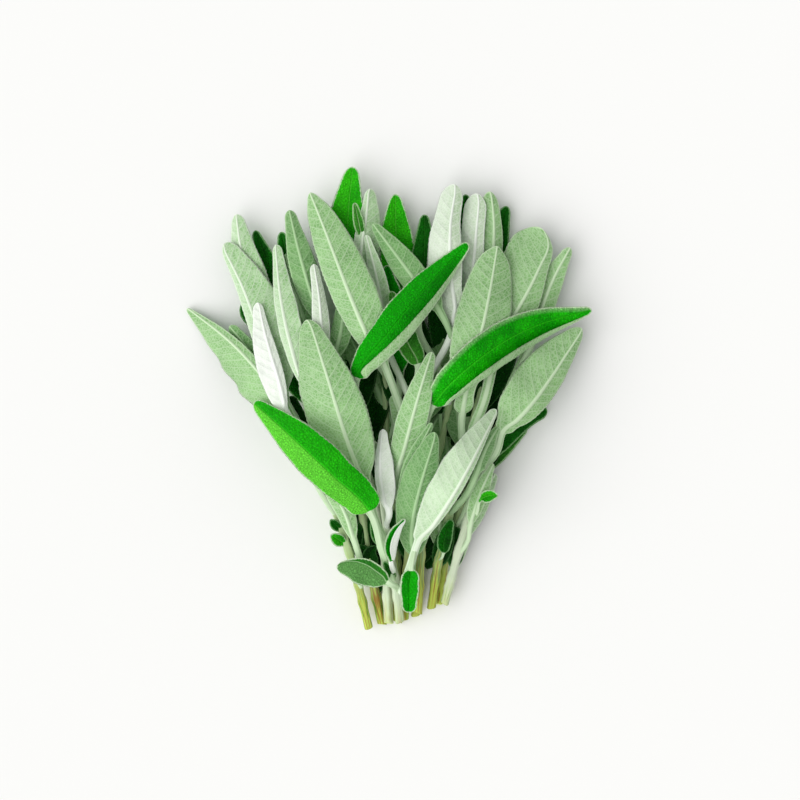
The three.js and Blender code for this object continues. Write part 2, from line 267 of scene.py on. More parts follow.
@dataclass(frozen=True)
class LeafLine:
    """What a leaf's shape starts from: rows of its midrib's points, from its root to its tip.

    Each row has the direction to the leaf's own right, seen on its upper side, its half width, and how far
    its edges rise over its midrib towards the upper side, as a share of that half width. Row blade_start
    lies at start_share of the stalk's length. The frame's lofts have three rows on the stalk.
    """

    middle: Array
    rightward: Array
    half: Array
    fold: Array
    blade_start: int
    start_share: float = 0.9

    STALK_ROWS: ClassVar[int] = 3
    DEPTHS: ClassVar[tuple[float, float]] = (0.5, 0.36)
    SEAT_ROWS: ClassVar[int] = 3
    HEEL: ClassVar[float] = 0.4
    ARCH_AT: ClassVar[tuple[float, float, float]] = (0.0, 0.33, 0.7)
    ARCH_START: ClassVar[float] = 1.03

    @classmethod
    def of_node(cls, name: str) -> "LeafLine":
        """Reads a leaf node's rings.

        The two corners of a ring that are furthest apart are the margins, the one beside both is the middle
        of the upper side, and the one opposite that is the keel. The midrib lies between those two, at one
        share of the depth on the stalk and at another on the blade.

        Args:
            name: the frame's node.

        Returns:
            The leaf's line.
        """
        loft = Loft.of_node(name, thick_base=False)
        corners = loft.corners
        rows = np.arange(len(corners))
        sides = corners.shape[1]
        gaps = np.linalg.norm(corners[:, :, None] - corners[:, None], axis=3).reshape(len(rows), -1)
        first, second = np.divmod(gaps.argmax(axis=1), sides)
        upper = (loft.beside[rows, first] & loft.beside[rows, second]).argmax(axis=1)
        away = ~(loft.beside[rows, first] | loft.beside[rows, second])
        away[rows, first] = False
        away[rows, second] = False
        keel = away.argmax(axis=1)
        top, bottom = corners[rows, upper], corners[rows, keel]
        one, other = corners[rows, first], corners[rows, second]
        on_stalk = rows < cls.STALK_ROWS
        middle = top + (bottom - top) * np.where(on_stalk, *cls.DEPTHS)[:, None]
        ahead = np.gradient(middle, axis=0)
        normal = unit(top - bottom)
        swap = (np.cross(ahead, normal) * (one - other)).sum(axis=1) < 0
        right = np.where(swap[:, None], other, one)
        left = np.where(swap[:, None], one, other)
        half = np.linalg.norm(right - left, axis=1) / 2
        rise = (((right + left) / 2 - middle) * normal).sum(axis=1)
        fold = np.where(on_stalk, 0, rise / half)
        return cls(middle, unit(right - left), half, fold, cls.STALK_ROWS - 1)

    def rooted(self, stem: "StemLine") -> "LeafLine":
        """Carries the stalk on into the axis of its stem, a few rows below the nearest.

        Args:
            stem: the stem that the leaf grows from.

        Returns:
            The same line with its root in the stem.
        """
        gap = np.linalg.norm(stem.axis - self.middle[0], axis=1)
        seat = stem.axis[max(int(gap.argmin()) - self.SEAT_ROWS, 0)]
        heel = (1 - self.HEEL) * seat + self.HEEL * self.middle[1]
        return LeafLine(
            np.concatenate([[seat, heel], self.middle[1:]]),
            np.concatenate([self.rightward[:1], self.rightward]),
            np.concatenate([self.half[:1], self.half]),
            np.concatenate([[0], self.fold]),
            self.blade_start + 1,
        )

    def bent_from(self, seat: Array) -> "LeafLine":
        """Draws the stalk as one arch, a cubic Bezier curve from its stem to the blade.

        Args:
            seat: the point on the stem's axis that the stalk grows from.

        Returns:
            The same line with its stalk's rows on the arch.
        """
        rows = self.STALK_ROWS
        end = self.middle[rows]
        reach = np.linalg.norm(end - seat)
        arrive = end - unit(self.middle[rows + 1] - end) * reach * 0.4
        leave = seat + np.array([0.0, reach * 0.35, reach * 0.1])
        t = np.array(self.ARCH_AT)[:, None]
        arch = (1 - t) ** 3 * seat + 3 * (1 - t) ** 2 * t * leave + 3 * (1 - t) * t**2 * arrive + t**3 * end
        middle = np.concatenate([arch, self.middle[rows:]])
        on_arch = np.repeat(self.rightward[rows][None], rows, axis=0)
        rightward = np.concatenate([on_arch, self.rightward[rows:]])
        return LeafLine(middle, rightward, self.half, self.fold, rows, self.ARCH_START)


@dataclass(frozen=True)
class StemLine:
    """A stem's axis and radius, in rows about 2 mm apart from its cut end."""

    axis: Array
    radius: Array

    ROW_MM: ClassVar[float] = 2.0

    @classmethod
    def of_node(cls, name: str) -> "StemLine":
        """Reads a stem node: a ring's middle is on the axis, and its corners stand one radius from it.

        Args:
            name: the frame's node.

        Returns:
            The stem's line.
        """
        corners = Loft.of_node(name, thick_base=True).corners
        middle = corners.mean(axis=1)
        radius = np.linalg.norm(corners - middle[:, None], axis=2).mean(axis=1)
        along = lengths(middle)
        at = np.linspace(0, along[-1], int(along[-1] / cls.ROW_MM) + 1)
        return cls(spline(along, middle, at), np.interp(at, along, radius))


# ---- Finishes ----


@dataclass(frozen=True)
class Finish:
    """How a real surface looks, as a node material with one shader."""

    name: str

    def material(self) -> bpy.types.Material:
        """Builds the finish.

        Returns:
            The material.
        """
        material = bpy.data.materials.new(self.name)
        material.use_nodes = True
        tree = material.node_tree
        tree.nodes.clear()
        add(tree, "OutputMaterial", add(tree, "BsdfPrincipled", **self.surface(tree)))
        return material

    def surface(self, tree: Tree) -> dict[str, object]:
        """Works out the surface, which each kind of finish does in its own way.

        Args:
            tree: the material's node tree.

        Returns:
            What the shader's sockets get, by name.
        """
        raise NotImplementedError(self.name)


@dataclass(frozen=True)
class Spot:
    """What a leaf's mesh says about a spot on it.

    They are its place on the leaf laid flat, its signed distance from the midrib and its distance from the
    margin, in millimetres, its distance from the midrib over half the midrib's width, and from the nearest
    side vein over the gap between two.
    """

    flat: Socket
    out: Socket
    margin: Socket
    off_rib: Socket
    off_vein: Socket


@dataclass(frozen=True)
class LeafSide(Finish):
    """What both sides of a sage leaf share: patches of two greens, and cells between its finest veins."""

    field: str
    shade: str
    vein: str

    cell_mm: float = 1.25
    cell_spread: float = 0.9
    bend_mm: float = 0.35
    bends_per_mm: float = 0.9
    patches_per_mm: float = 0.11
    patch_ends: tuple[float, float] = (0.35, 0.68)

    def spot(self, tree: Tree) -> Spot:
        """Reads the mesh's marks.

        Args:
            tree: the material's node tree.

        Returns:
            The spot's sockets.
        """
        along, out, phase = read(tree, "blade")
        margin, rib_half, seed = read(tree, "parts")
        flat = add(tree, "CombineXYZ", along, out, seed)
        across = add(tree, "Math", out, operation="ABSOLUTE")
        off_rib = add(tree, "Math", across, rib_half, operation="DIVIDE")
        off_vein = add(tree, "Math", phase, 0.5, operation="PINGPONG")
        return Spot(flat, out, margin, off_rib, off_vein)

    def cells(self, tree: Tree, flat: Socket) -> Socket:
        """Draws the cells, bent a little by noise.

        Args:
            tree: the material's node tree.
            flat: the place on the leaf laid flat.

        Returns:
            The distance to the nearest cell's edge.
        """
        bend = add(tree, "TexNoise", flat, Scale=self.bends_per_mm, Detail=1.0, out="Color")
        bent = add(tree, "MixRGB", self.bend_mm, flat, bend, blend_type="ADD")
        cells = dict(Scale=1 / self.cell_mm, Randomness=self.cell_spread)
        return add(tree, "TexVoronoi", bent, feature="DISTANCE_TO_EDGE", **cells)

    def tissue(self, tree: Tree, flat: Socket) -> Socket:
        """Patches the two greens about a centimetre wide.

        Args:
            tree: the material's node tree.
            flat: the place on the leaf laid flat.

        Returns:
            The tissue's colour.
        """
        patch = add(tree, "TexNoise", flat, Scale=self.patches_per_mm, Detail=3.0)
        patch = add(tree, "MapRange", patch, *self.patch_ends)
        return add(tree, "MixRGB", patch, linear(self.shade), linear(self.field))


@dataclass(frozen=True)
class UpperSide(LeafSide):
    """The upper side of a fresh sage leaf: a bright waxy green, finely pebbled, with a downy grey-green rim.

    The cells swell into pebbles a little over a millimetre across, which give the broken, satin light of the
    surface; the grooves between them are darkened with painted shade. Down is short here, so only its edge
    looks grey. The left half can be paler, all of it or as far in from its margin as its longer down reaches;
    on the lit leaf the whole paler half is painted light, the lit side of its fold.
    """

    rim: str = "#c9dfba"
    left: str = ""
    left_mm: float = 200.0

    rim_mm: float = 0.95

    def surface(self, tree: Tree) -> dict[str, object]:
        """Pales the tissue's left half, paints shade into the grooves between pebbles, and adds the veins and
        rim.

        Args:
            tree: the material's node tree.

        Returns:
            What the shader's sockets get, by name.
        """
        spot = self.spot(tree)
        pebble = add(tree, "MapRange", self.cells(tree, spot.flat), 0.0, 0.38)
        midrib = add(tree, "MapRange", spot.off_rib, 0.15, 0.6, 0.8, 0.0)
        side_vein = add(tree, "MapRange", spot.off_vein, 0.01, 0.05, 0.1, 0.0)
        veins = add(tree, "Math", side_vein, midrib, operation="MAXIMUM")
        # The left half is paled; on the lit leaf this is painted light, the lit side of its fold.
        lefthand = add(tree, "MapRange", spot.out, -0.7, 0.1, 1.0, 0.0)
        inward = add(tree, "MapRange", spot.margin, 0.0, self.left_mm, 1.0, 0.0)
        paler = add(tree, "Math", lefthand, inward, operation="MULTIPLY")
        left = linear(self.left or self.field)
        green = add(tree, "MixRGB", paler, self.tissue(tree, spot.flat), left)
        grain = add(tree, "TexNoise", spot.flat, Scale=1.5, Detail=3.0)
        grain = add(tree, "MapRange", grain, 0.3, 0.7, 0.62, 1.32)
        lit = add(tree, "VectorMath", green, Scale=grain, operation="SCALE")
        # Painted shade: the grooves between pebbles are darkened.
        groove_shade = add(tree, "VectorMath", lit, Scale=0.72, operation="SCALE")
        skin = add(tree, "MixRGB", pebble, groove_shade, lit)
        veined = add(tree, "MixRGB", veins, skin, linear(self.vein))
        ragged = add(tree, "TexNoise", spot.flat, Scale=1.6, Detail=2.0)
        inset = add(tree, "Math", ragged, -self.rim_mm, spot.margin, operation="MULTIPLY_ADD")
        rim = add(tree, "MapRange", inset, -0.1, 0.3, 0.9, 0.0)
        colour = add(tree, "MixRGB", rim, veined, linear(self.rim))
        down = add(tree, "TexNoise", spot.flat, Scale=4.0, Detail=2.0)
        relief = add(tree, "Math", down, 0.3, pebble, operation="MULTIPLY_ADD")
        relief = add(tree, "Math", relief, veins, operation="SUBTRACT")
        bump = add(tree, "Bump", Height=relief, Strength=0.7, Distance=0.4 * MM)
        return dict(Base_Color=colour, Roughness=0.5, IOR=1.42, Specular_IOR_Level=0.1, Normal=bump)


@dataclass(frozen=True)
class Felt(LeafSide):
    """The underside of a sage leaf and its stalk: pale green tissue under a felt of white hairs.

    The hairs are too fine to draw one by one, so they are a soft speckle, a high roughness and a sheen. One
    half of the blade is painted whiter, painted light that stands for its lit side. The net of veins round
    the cells stands out of the felt and catches the light. It is drawn a little coarser than a real one, as
    coarse as it needs to be to show.
    """

    painted_light_half: float = 0.4

    cell_mm: float = 1.35
    cell_spread: float = 0.95
    bend_mm: float = 0.5
    bends_per_mm: float = 0.8
    patches_per_mm: float = 0.09
    patch_ends: tuple[float, float] = (0.3, 0.7)

    def surface(self, tree: Tree) -> dict[str, object]:
        """Covers the tissue with white down: a speckle, ridges and the rim, with the right half whitened more
        as painted light.

        Args:
            tree: the material's node tree.

        Returns:
            What the shader's sockets get, by name.
        """
        spot = self.spot(tree)
        net = add(tree, "MapRange", self.cells(tree, spot.flat), 0.02, 0.22, 0.38, 0.0)
        midrib = add(tree, "MapRange", spot.off_rib, 0.75, 1.35, 1.0, 0.0)
        side_vein = add(tree, "MapRange", spot.off_vein, 0.01, 0.07, 0.66, 0.0)
        veins = add(tree, "Math", side_vein, midrib, operation="MAXIMUM")
        ridges = add(tree, "Math", veins, net, operation="MAXIMUM")
        speckle = add(tree, "TexNoise", spot.flat, Scale=2.6, Detail=3.0)
        speckle = add(tree, "MapRange", speckle, 0.35, 0.75, 0.0, 0.3)
        # Painted light: the blade's right half is whitened, standing for its lit side.
        painted_lit_half = add(tree, "MapRange", spot.out, -2.5, 3.5, 0.0, self.painted_light_half)
        speckle = add(tree, "Math", speckle, painted_lit_half, operation="ADD")
        rim = add(tree, "MapRange", spot.margin, 0.25, 0.75, 0.85, 0.0)
        colour = self.tissue(tree, spot.flat)
        for white in (speckle, ridges, rim):
            colour = add(tree, "MixRGB", white, colour, linear(self.vein))
        hairs = add(tree, "TexNoise", spot.flat, Scale=5.0, Detail=2.0)
        relief = add(tree, "Math", hairs, 0.35, ridges, operation="MULTIPLY_ADD")
        bump = add(tree, "Bump", Height=relief, Strength=0.6, Distance=0.25 * MM)
        gloss = dict(Roughness=0.85, IOR=1.4, Specular_IOR_Level=0.2, Sheen_Weight=0.08, Sheen_Roughness=0.6)
        return dict(Base_Color=colour, Normal=bump, **gloss)


@dataclass(frozen=True)
class StemSkin(Finish):
    """The skin of a young sage stem: yellow-green with ochre streaks near the cut, whitish down above it.

    The streaks follow the fibres, so they are long and thin, and the down above them is soft and rough.
    """

    cut_green: str = "#c0d458"
    ochre: str = "#a27b34"
    dark: str = "#44781c"
    downy: str = "#bcd5a4"
    bare_mm: float = 34.0

    streak_mm: float = 0.7
    stretch: float = 0.06

    def surface(self, tree: Tree) -> dict[str, object]:
        """Streaks the bare skin with ochre and dark green, and lets the down cover it at a ragged height.

        Args:
            tree: the material's node tree.

        Returns:
            What the shader's sockets get, by name.
        """
        along, girth, seed = read(tree, "stem")
        stretched = add(tree, "Math", along, self.stretch, operation="MULTIPLY")
        round_it = add(tree, "Math", girth, 1 / self.streak_mm, operation="MULTIPLY")
        fibre = add(tree, "CombineXYZ", stretched, round_it, seed)
        streak = add(tree, "TexNoise", fibre, Scale=1.0, Detail=3.0)
        ochre = add(tree, "MapRange", streak, 0.52, 0.6)
        green = add(tree, "MapRange", streak, 0.47, 0.37, 0.0, 0.9)
        bare = add(tree, "MixRGB", ochre, linear(self.cut_green), linear(self.ochre))
        bare = add(tree, "MixRGB", green, bare, linear(self.dark))
        ragged = add(tree, "TexNoise", fibre, Scale=0.6, Detail=2.0)
        height = add(tree, "Math", ragged, 20.0, along, operation="MULTIPLY_ADD")
        share = add(tree, "MapRange", height, 0.6 * self.bare_mm, 1.4 * self.bare_mm, 0.0, 0.85)
        colour = add(tree, "MixRGB", share, bare, linear(self.downy))
        hairs = add(tree, "TexNoise", fibre, Scale=4.0, Detail=2.0)
        bump = add(tree, "Bump", Height=hairs, Strength=0.5, Distance=0.2 * MM)
        gloss = dict(Roughness=0.62, IOR=1.42, Specular_IOR_Level=0.3, Sheen_Weight=0.15)
        return dict(Base_Color=colour, Normal=bump, **gloss)


@dataclass(frozen=True)
class CutFace(Finish):
    """A freshly cut stem end: moist yellow-green wood round a pale pith, with a soft coarse grain."""

    name: str = "cut_stem_end"
    wood: str = "#c5e055"
    pith: str = "#eef3c8"

    pith_mm: float = 0.8
    grain_mm: float = 2.5

    def surface(self, tree: Tree) -> dict[str, object]:
        """Rings the pith with wood.

        Args:
            tree: the material's node tree.

        Returns:
            What the shader's sockets get, by name.
        """
        from_middle = read(tree, "stem")[0]
        centre = add(tree, "MapRange", from_middle, 0.8 * self.pith_mm, 1.3 * self.pith_mm, 1.0, 0.0)
        colour = add(tree, "MixRGB", centre, linear(self.wood), linear(self.pith))
        place = add(tree, "TexCoord", out="Object")
        grain = add(tree, "TexNoise", place, Scale=1 / (self.grain_mm * MM), Detail=3.0)
        bump = add(tree, "Bump", Height=grain, Strength=0.4, Distance=0.15 * MM)
        return dict(Base_Color=colour, Roughness=0.42, IOR=1.4, Normal=bump)


@dataclass(frozen=True)
class StudioFloor(Finish):
    """Matt white card under the bunch: even and pale, with a tooth too fine to see."""

    name: str = "white_card"
    colour: str = "#f6f6f4"

    tooth_mm: float = 1.25

    def surface(self, tree: Tree) -> dict[str, object]:
        """Gives the card its colour and tooth.

        Args:
            tree: the material's node tree.

        Returns:
            What the shader's sockets get, by name.
        """
        place = add(tree, "TexCoord", out="Object")
        tooth = add(tree, "TexNoise", place, Scale=1 / (self.tooth_mm * MM))
        bump = add(tree, "Bump", Height=tooth, Strength=0.05, Distance=0.1 * MM)
        return dict(Base_Color=linear(self.colour), Roughness=0.95, Specular_IOR_Level=0.0, Normal=bump)


class Green(Enum):
    """How an upper side looks: from bright young tissue to the shaded leaves at the back, whose darker greens
    are painted shade.
    """

    # Painted light: a brighter copy for the lit leaf, whose paler left half stands for the lit side of its
    # fold.
    LIT = UpperSide("sage_upper_side_lit", "#24c408", "#18b203", "#3cc41e", left="#68de3a")
    FRESH = UpperSide("sage_upper_side_fresh", "#0cae02", "#048f00", "#18a808")
    EDGED = UpperSide(
        "sage_upper_side_downy_edged", "#1cc604", "#08a400", "#30c214", left="#98c886", left_mm=2.8
    )
    BRIGHT = UpperSide("sage_upper_side_bright", "#34c80e", "#1ba604", "#58cc38")
    MUTED = UpperSide("sage_upper_side_muted", "#449c2c", "#267416", "#93c07e", rim="#a5c994")
    # Painted shade: the upper side darkened for the shaded leaves at the back.
    DARK = UpperSide("sage_upper_side_dark", "#0e7208", "#084d05", "#2b7a22", rim="#7fae72")
    # Painted shade: darker still, for the leaves deep inside the bunch and in its gaps.
    SHADED = UpperSide("sage_upper_side_shaded", "#0a4d08", "#053404", "#154f10", rim="#3f6b38")
    GREYED = UpperSide(
        "sage_upper_side_greyed", "#2f8a1d", "#24751a", "#a3cb92", rim="#c3dab3", left="#67a556"
    )


class Down(Enum):
    """How an underside looks: from leaves thick with white hairs to thinner-haired, greener ones, and a copy
    darkened with painted shade.
    """

    WHITE = Felt("sage_underside_white", "#e6efe1", "#cfe0c6", "#f5f9f2")
    SILVER = Felt("sage_underside_silver", "#c3d9b6", "#a0c290", "#edf4e8")
    PALE = Felt("sage_underside_pale", "#9ecb8b", "#80b46b", "#dfedd6")
    MEDIUM = Felt("sage_underside_medium", "#85bb6f", "#659d50", "#cce4bd", painted_light_half=0.08)
    # Painted shade: the felt darkened for undersides that lie in shade inside the bunch.
    DEEP = Felt("sage_underside_deep", "#669c54", "#48803a", "#a9cb99", painted_light_half=0.08)


class Bark(Enum):
    """How a stem's skin looks: bare and green for 34 mm or so over its cut, or downy almost down to it."""

    GREEN = StemSkin("young_stem_skin")
    DOWNY = StemSkin("downy_stem_skin", "#cfdfa0", "#b9b272", "#7ea35a", "#d3e0c8", bare_mm=16.0)


@dataclass
class Palette:
    """Every finish as a material, each made once."""

    made: dict[str, bpy.types.Material] = field(default_factory=dict)

    def of(self, finish: Finish) -> bpy.types.Material:
        """Finds a finish's material, and makes it the first time.

        Args:
            finish: the finish.

        Returns:
            Its material.
        """
        if finish.name not in self.made:
            self.made[finish.name] = finish.material()
        return self.made[finish.name]


# ---- Meshes ----


def closed_tube(name: str, rings: Array, second: Mask, marks: dict[str, Array]) -> bpy.types.Mesh:
    """Skins rows of rings into a closed mesh: four-sided faces between neighbours, and a fan at each end.

    A ring's points run so that the next point, crossed with the next ring, points outwards.

    Args:
        name: the mesh's name.
        rings: points in millimetres, by row and place round the ring.
        second: which of the faces between rings take the second material.
        marks: named vectors for the materials, one for each ring point.

    Returns:
        The mesh, in metres.
    """
    rows, around = rings.shape[:2]
    grid = np.arange(rows * around).reshape(rows, around)
    after = np.roll(grid, -1, axis=1)
    walls = np.stack([grid[:-1], after[:-1], after[1:], grid[1:]], axis=-1).reshape(-1)
    base = np.stack([after[0], grid[0], np.full(around, rows * around)], axis=-1).reshape(-1)
    tip = np.stack([grid[-1], after[-1], np.full(around, rows * around + 1)], axis=-1).reshape(-1)
    spots = np.concatenate([rings.reshape(-1, 3), rings[0].mean(axis=0)[None], rings[-1].mean(axis=0)[None]])
    corners = np.concatenate([walls, base, tip])
    sizes = np.concatenate([np.full(len(walls) // 4, 4), np.full(2 * around, 3)])
    starts = np.concatenate([[0], np.cumsum(sizes)[:-1]])
    chosen = np.concatenate([second.reshape(-1), second[0], second[-1]])
    mesh = bpy.data.meshes.new(name)
    mesh.vertices.add(len(spots))
    mesh.vertices.foreach_set("co", (spots * MM).astype(np.float32).reshape(-1))
    mesh.loops.add(len(corners))
    mesh.loops.foreach_set("vertex_index", corners.astype(np.int32))
    mesh.polygons.add(len(sizes))
    mesh.polygons.foreach_set("loop_start", starts.astype(np.int32))
    mesh.polygons.foreach_set("material_index", chosen.astype(np.int32))
    mesh.polygons.foreach_set("use_smooth", np.ones(len(sizes), bool))
    for mark, values in marks.items():
        flat = values.reshape(-1, 3)
        ends = np.stack([values[0].mean(axis=0), values[-1].mean(axis=0)])
        attribute = mesh.attributes.new(mark, "FLOAT_VECTOR", "POINT")
        attribute.data.foreach_set("vector", np.concatenate([flat, ends]).astype(np.float32).reshape(-1))
    mesh.update(calc_edges=True)
    mesh.validate()
    return mesh


def ring_of(top: Array, under: Array) -> Array:
    """Returns rings that run over the top's columns and back under them, sharing both end columns."""
    return np.concatenate([top, under[:, -2:0:-1]], axis=1)


def show(name: str, mesh: bpy.types.Mesh, finishes: list[bpy.types.Material]) -> bpy.types.Object:
    """Puts a mesh in the scene as a piece of the bunch.

    Args:
        name: the piece's name.
        mesh: its mesh.
        finishes: its materials.

    Returns:
        The piece.
    """
    piece = bpy.data.objects.new(name, mesh)
    for finish in finishes:
        mesh.materials.append(finish)
    bpy.context.scene.collection.objects.link(piece)
    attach(piece, BODY)
    log.info("%s: %d faces", name, len(mesh.polygons))
    return piece


# ---- Leaves ----


@dataclass(frozen=True)
class Trait:
    """What sets one leaf's shape apart from the frame's plain one.

    They are how much of its right-hand margin is rolled over and where most of it is, how blunt its tip and
    how full its base are, how far aside its midrib runs at the base and at the tip, how broad its blade and
    its stalk are, how far down its stalk the blade starts, and how far up and to its right it lies from the
    frame's.
    """

    rolled_mm: float = 0.0
    roll_middle: float = 0.45
    bluntness: float = 0.24
    base_fullness: float = 0.0
    skew: float = 0.0
    tip_skew: float = 0.0
    breadth: float = 1.0
    stalk: float = 1.35
    early_mm: float = 0.0
    lift_mm: float = 0.0
    shift_mm: float = 0.0


@dataclass(frozen=True)
class Outline:
    """A leaf laid flat, in millimetres: its rows from root to tip, and its columns from left to right.

    A row lies s from the root and along from the blade's start, which is a share of the blade's length. It
    opens from 0 on the stalk to 1 on the blade, and its rounding falls from 1 to 0 round the tip. Its midrib
    lies aside of its middle by a share of its half width, and its right-hand margin is rolled by its taper,
    0 to 1. A spot's reach is its signed length from the midrib, out of the total on its side.
    """

    s: Array
    along: Array
    share: Array
    opened: Array
    rounding: Array
    half: Array
    aside: Array
    taper: Array
    column: Array
    total: Array

    @property
    def start(self) -> float:
        """Returns where the blade starts, from the root."""
        return -self.along[0]

    @property
    def half_right(self) -> Array:
        """Returns the width on the right of the midrib, with its margin rolled."""
        return self.half * (1 - self.aside)

    @property
    def size(self) -> float:
        """Returns how large the leaf is for its relief, 1 where it is 12 mm wide or more."""
        return min(1.0, self.half.max() / 6)

    @property
    def reach(self) -> Array:
        """Returns each spot's signed length from the midrib."""
        return self.column * self.total

    @property
    def inner(self) -> Array:
        """Returns where the blade can pucker: 1 on it, and 0 at its margins, its midrib and on the stalk."""
        out = np.abs(self.reach)
        return smooth((self.total - out) / 1.5) * smooth((out - 0.3) / 1.2) * self.opened[:, None]


@dataclass(frozen=True)
class Veins:
    """A leaf's veins: the side veins' phase and ridges, and the midrib's ridge and half width."""

    phase: Array
    side: Array
    rib: Array
    rib_half: Array


@dataclass
class Leaf:
    """One leaf, from the stem to its tip: a channelled stalk that opens into a veined blade."""

    name: str
    line: LeafLine
    green: Green = Green.FRESH
    down: Down = Down.PALE
    upward_green: bool = True
    trait: Trait = Trait()
    step_mm: float = 0.5
    columns: int = 14
    wave_mm: float = 0.5

    blade_half_mm: float = 0.26
    stalk_half_mm: float = 0.8
    root_mm: float = 9.0
    vein_gap_mm: float = 5.2
    pucker_mm: float = 0.2
    tooth_mm: float = 2.3
    roll_radius_mm: float = 1.1
    roll_turn: float = math.radians(155)
    roll_edge: float = math.radians(105)
    fold_softness: float = 0.16
    opening: float = 0.12
    tip_rows: int = 8
    stalk_end_mm: float = 0.3
    far_mm: float = 9.0

    def rows(self, known: Array) -> tuple[Array, Array]:
        """Works out where the rows of points lie along the leaf: evenly, then closer round the tip.

        Args:
            known: the lengths of the line's own points.

        Returns:
            The lengths of the rows, and the share of the tip's rounding at each.
        """
        tip = 1.4 * math.hypot(self.trait.bluntness * self.line.half.max(), self.line.half[-1])
        count = max(int((known[-1] - tip) / self.step_mm), 12)
        turn = np.linspace(0, 0.96 * math.pi / 2, self.tip_rows + 1)[1:]
        even = np.linspace(0, known[-1] - tip, count)
        rows = np.concatenate([even, known[-1] - tip + tip * np.sin(turn)])
        return rows, np.concatenate([np.ones(count), np.cos(turn)])

    def outline(self, known: Array) -> Outline:
        """Works out the leaf's shape laid flat.

        The half width is the hypotenuse of the frame's own, of a share of the widest that rises towards the
        tip, and of a quarter of an ellipse at the base. The margin has fine teeth, and the stalk narrows to
        its root. The roll's taper is a sine of the blade's share raised to the power that puts its peak in
        place.

        Args:
            known: the lengths of the line's own points.

        Returns:
            The outline.
        """
        line, trait = self.line, self.trait
        s, rounding = self.rows(known)
        start = known[line.blade_start] / line.start_share - trait.early_mm
        length = known[-1] - start
        along = s - start
        share = np.clip(along / length, 0, 1)
        opened = smooth(along / (self.opening * length))
        widest = line.half.max()
        blunt = trait.bluntness * widest * smooth((share - 0.55) / 0.4)
        short = 1 - np.clip(along / (1.3 * widest), 0, 1)
        full = trait.base_fullness * widest * np.sqrt(1 - short**2) * smooth(1 - share / 0.45)
        plain = tracked(known, line.half, s) * (1 + (trait.breadth - 1) * opened)
        half = np.hypot(np.hypot(plain, blunt), full) * rounding
        teeth = np.abs(np.sin(math.pi * (along / self.tooth_mm + 0.3 * np.sin(along / 5)))) - 0.5
        half = half * (1 + 0.02 * teeth * opened)
        half = half * (1 + (trait.stalk - 1) * (1 - opened)) * (0.45 + 0.55 * smooth(s / self.root_mm))
        peak = math.log(0.5) / math.log(trait.roll_middle)
        taper = np.sin(math.pi * share**peak) ** 0.8 * smooth(share / 0.06) * (trait.rolled_mm > 0)
        extra = (self.roll_radius_mm * (self.roll_turn - 1) + trait.rolled_mm) * taper
        column = np.linspace(-1, 1, 2 * self.columns + 1)
        column = np.sign(column) * np.abs(column) ** 1.25
        aside = np.clip(trait.skew + (trait.tip_skew - trait.skew) * share, -0.9, 0.9) * opened
        left, right = half * (1 + aside), half * (1 - aside) + extra
        total = np.where(column > 0, right[:, None], left[:, None])
        return Outline(s, along, share, opened, rounding, half, aside, taper, column, total)

    def section(self, flat: Outline) -> tuple[Array, Array]:
        """Lays lengths across the blade out on its section: flat, then round the rolled margin and back.

        The right-hand margin follows an arc of the roll's radius through the roll's turn, and what is left
        of it runs straight on. The radius dwindles to nothing with the taper, so the roll ends in a point.

        Args:
            flat: the leaf laid flat.

        Returns:
            The place across and the height over the blade, by row and column.
        """
        radius = np.maximum(self.roll_radius_mm * flat.taper, 1e-6)[:, None]
        start = flat.half_right[:, None] - radius
        angle = np.clip((flat.reach - start) / radius, 0, self.roll_turn)
        past = np.maximum(flat.reach - start - radius * self.roll_turn, 0)
        across = np.minimum(flat.reach, start) + radius * np.sin(angle) + past * math.cos(self.roll_turn)
        height = radius * (1 - np.cos(angle)) + past * math.sin(self.roll_turn)
        return across, height

    def midrib(self, known: Array, flat: Outline) -> tuple[Array, Array, Array]:
        """Carries the line's midrib through the rows, and lifts and shifts it by the leaf's own trait.

        Args:
            known: the lengths of the line's own points.
            flat: the leaf laid flat.

        Returns:
            Each row's point on the midrib, its direction to the right and that out of the upper side.
        """
        middle = spline(known, self.line.middle, flat.s)
        ahead = unit(np.gradient(middle, flat.s, axis=0))
        right = spline(known, self.line.rightward, flat.s)
        right = unit(right - ahead * (right * ahead).sum(axis=1)[:, None])
        over = np.cross(right, ahead)
        middle[:, 2] += self.trait.lift_mm * smooth(flat.s / flat.start)
        shift = self.trait.shift_mm * smooth(1.4 * flat.s / flat.start - 0.4) + flat.aside * flat.half
        return middle + right * shift[:, None], right, over

    def veins(self, flat: Outline, rng: Random) -> Veins:
        """Lays the veins: side veins lean forwards in curves at even steps, alternately left and right.

        Args:
            flat: the leaf laid flat.
            rng: the leaf's own random numbers.

        Returns:
            The veins.
        """
        gap = self.vein_gap_mm * max(0.45, flat.size)
        along, out = flat.along[:, None], np.abs(flat.reach)
        lean = 0.75 + 0.15 * rng.standard_normal()
        phase = (along - lean * out - 0.035 * out**2) / gap + np.where(flat.column > 0, 0.0, 0.45)
        phase = phase + 0.12 * np.sin(along / 9 + 6 * rng.random())
        off_vein = np.abs(phase - np.round(phase)) * gap
        side = np.exp(-((off_vein / 0.55) ** 2)) * (1 - 0.6 * np.abs(flat.column))
        rib_half = (1 - 0.68 * flat.share) * (0.55 + 0.45 * flat.size)
        rib = np.exp(-((out / (0.75 * rib_half[:, None])) ** 2))
        return Veins(phase, side, rib, rib_half)

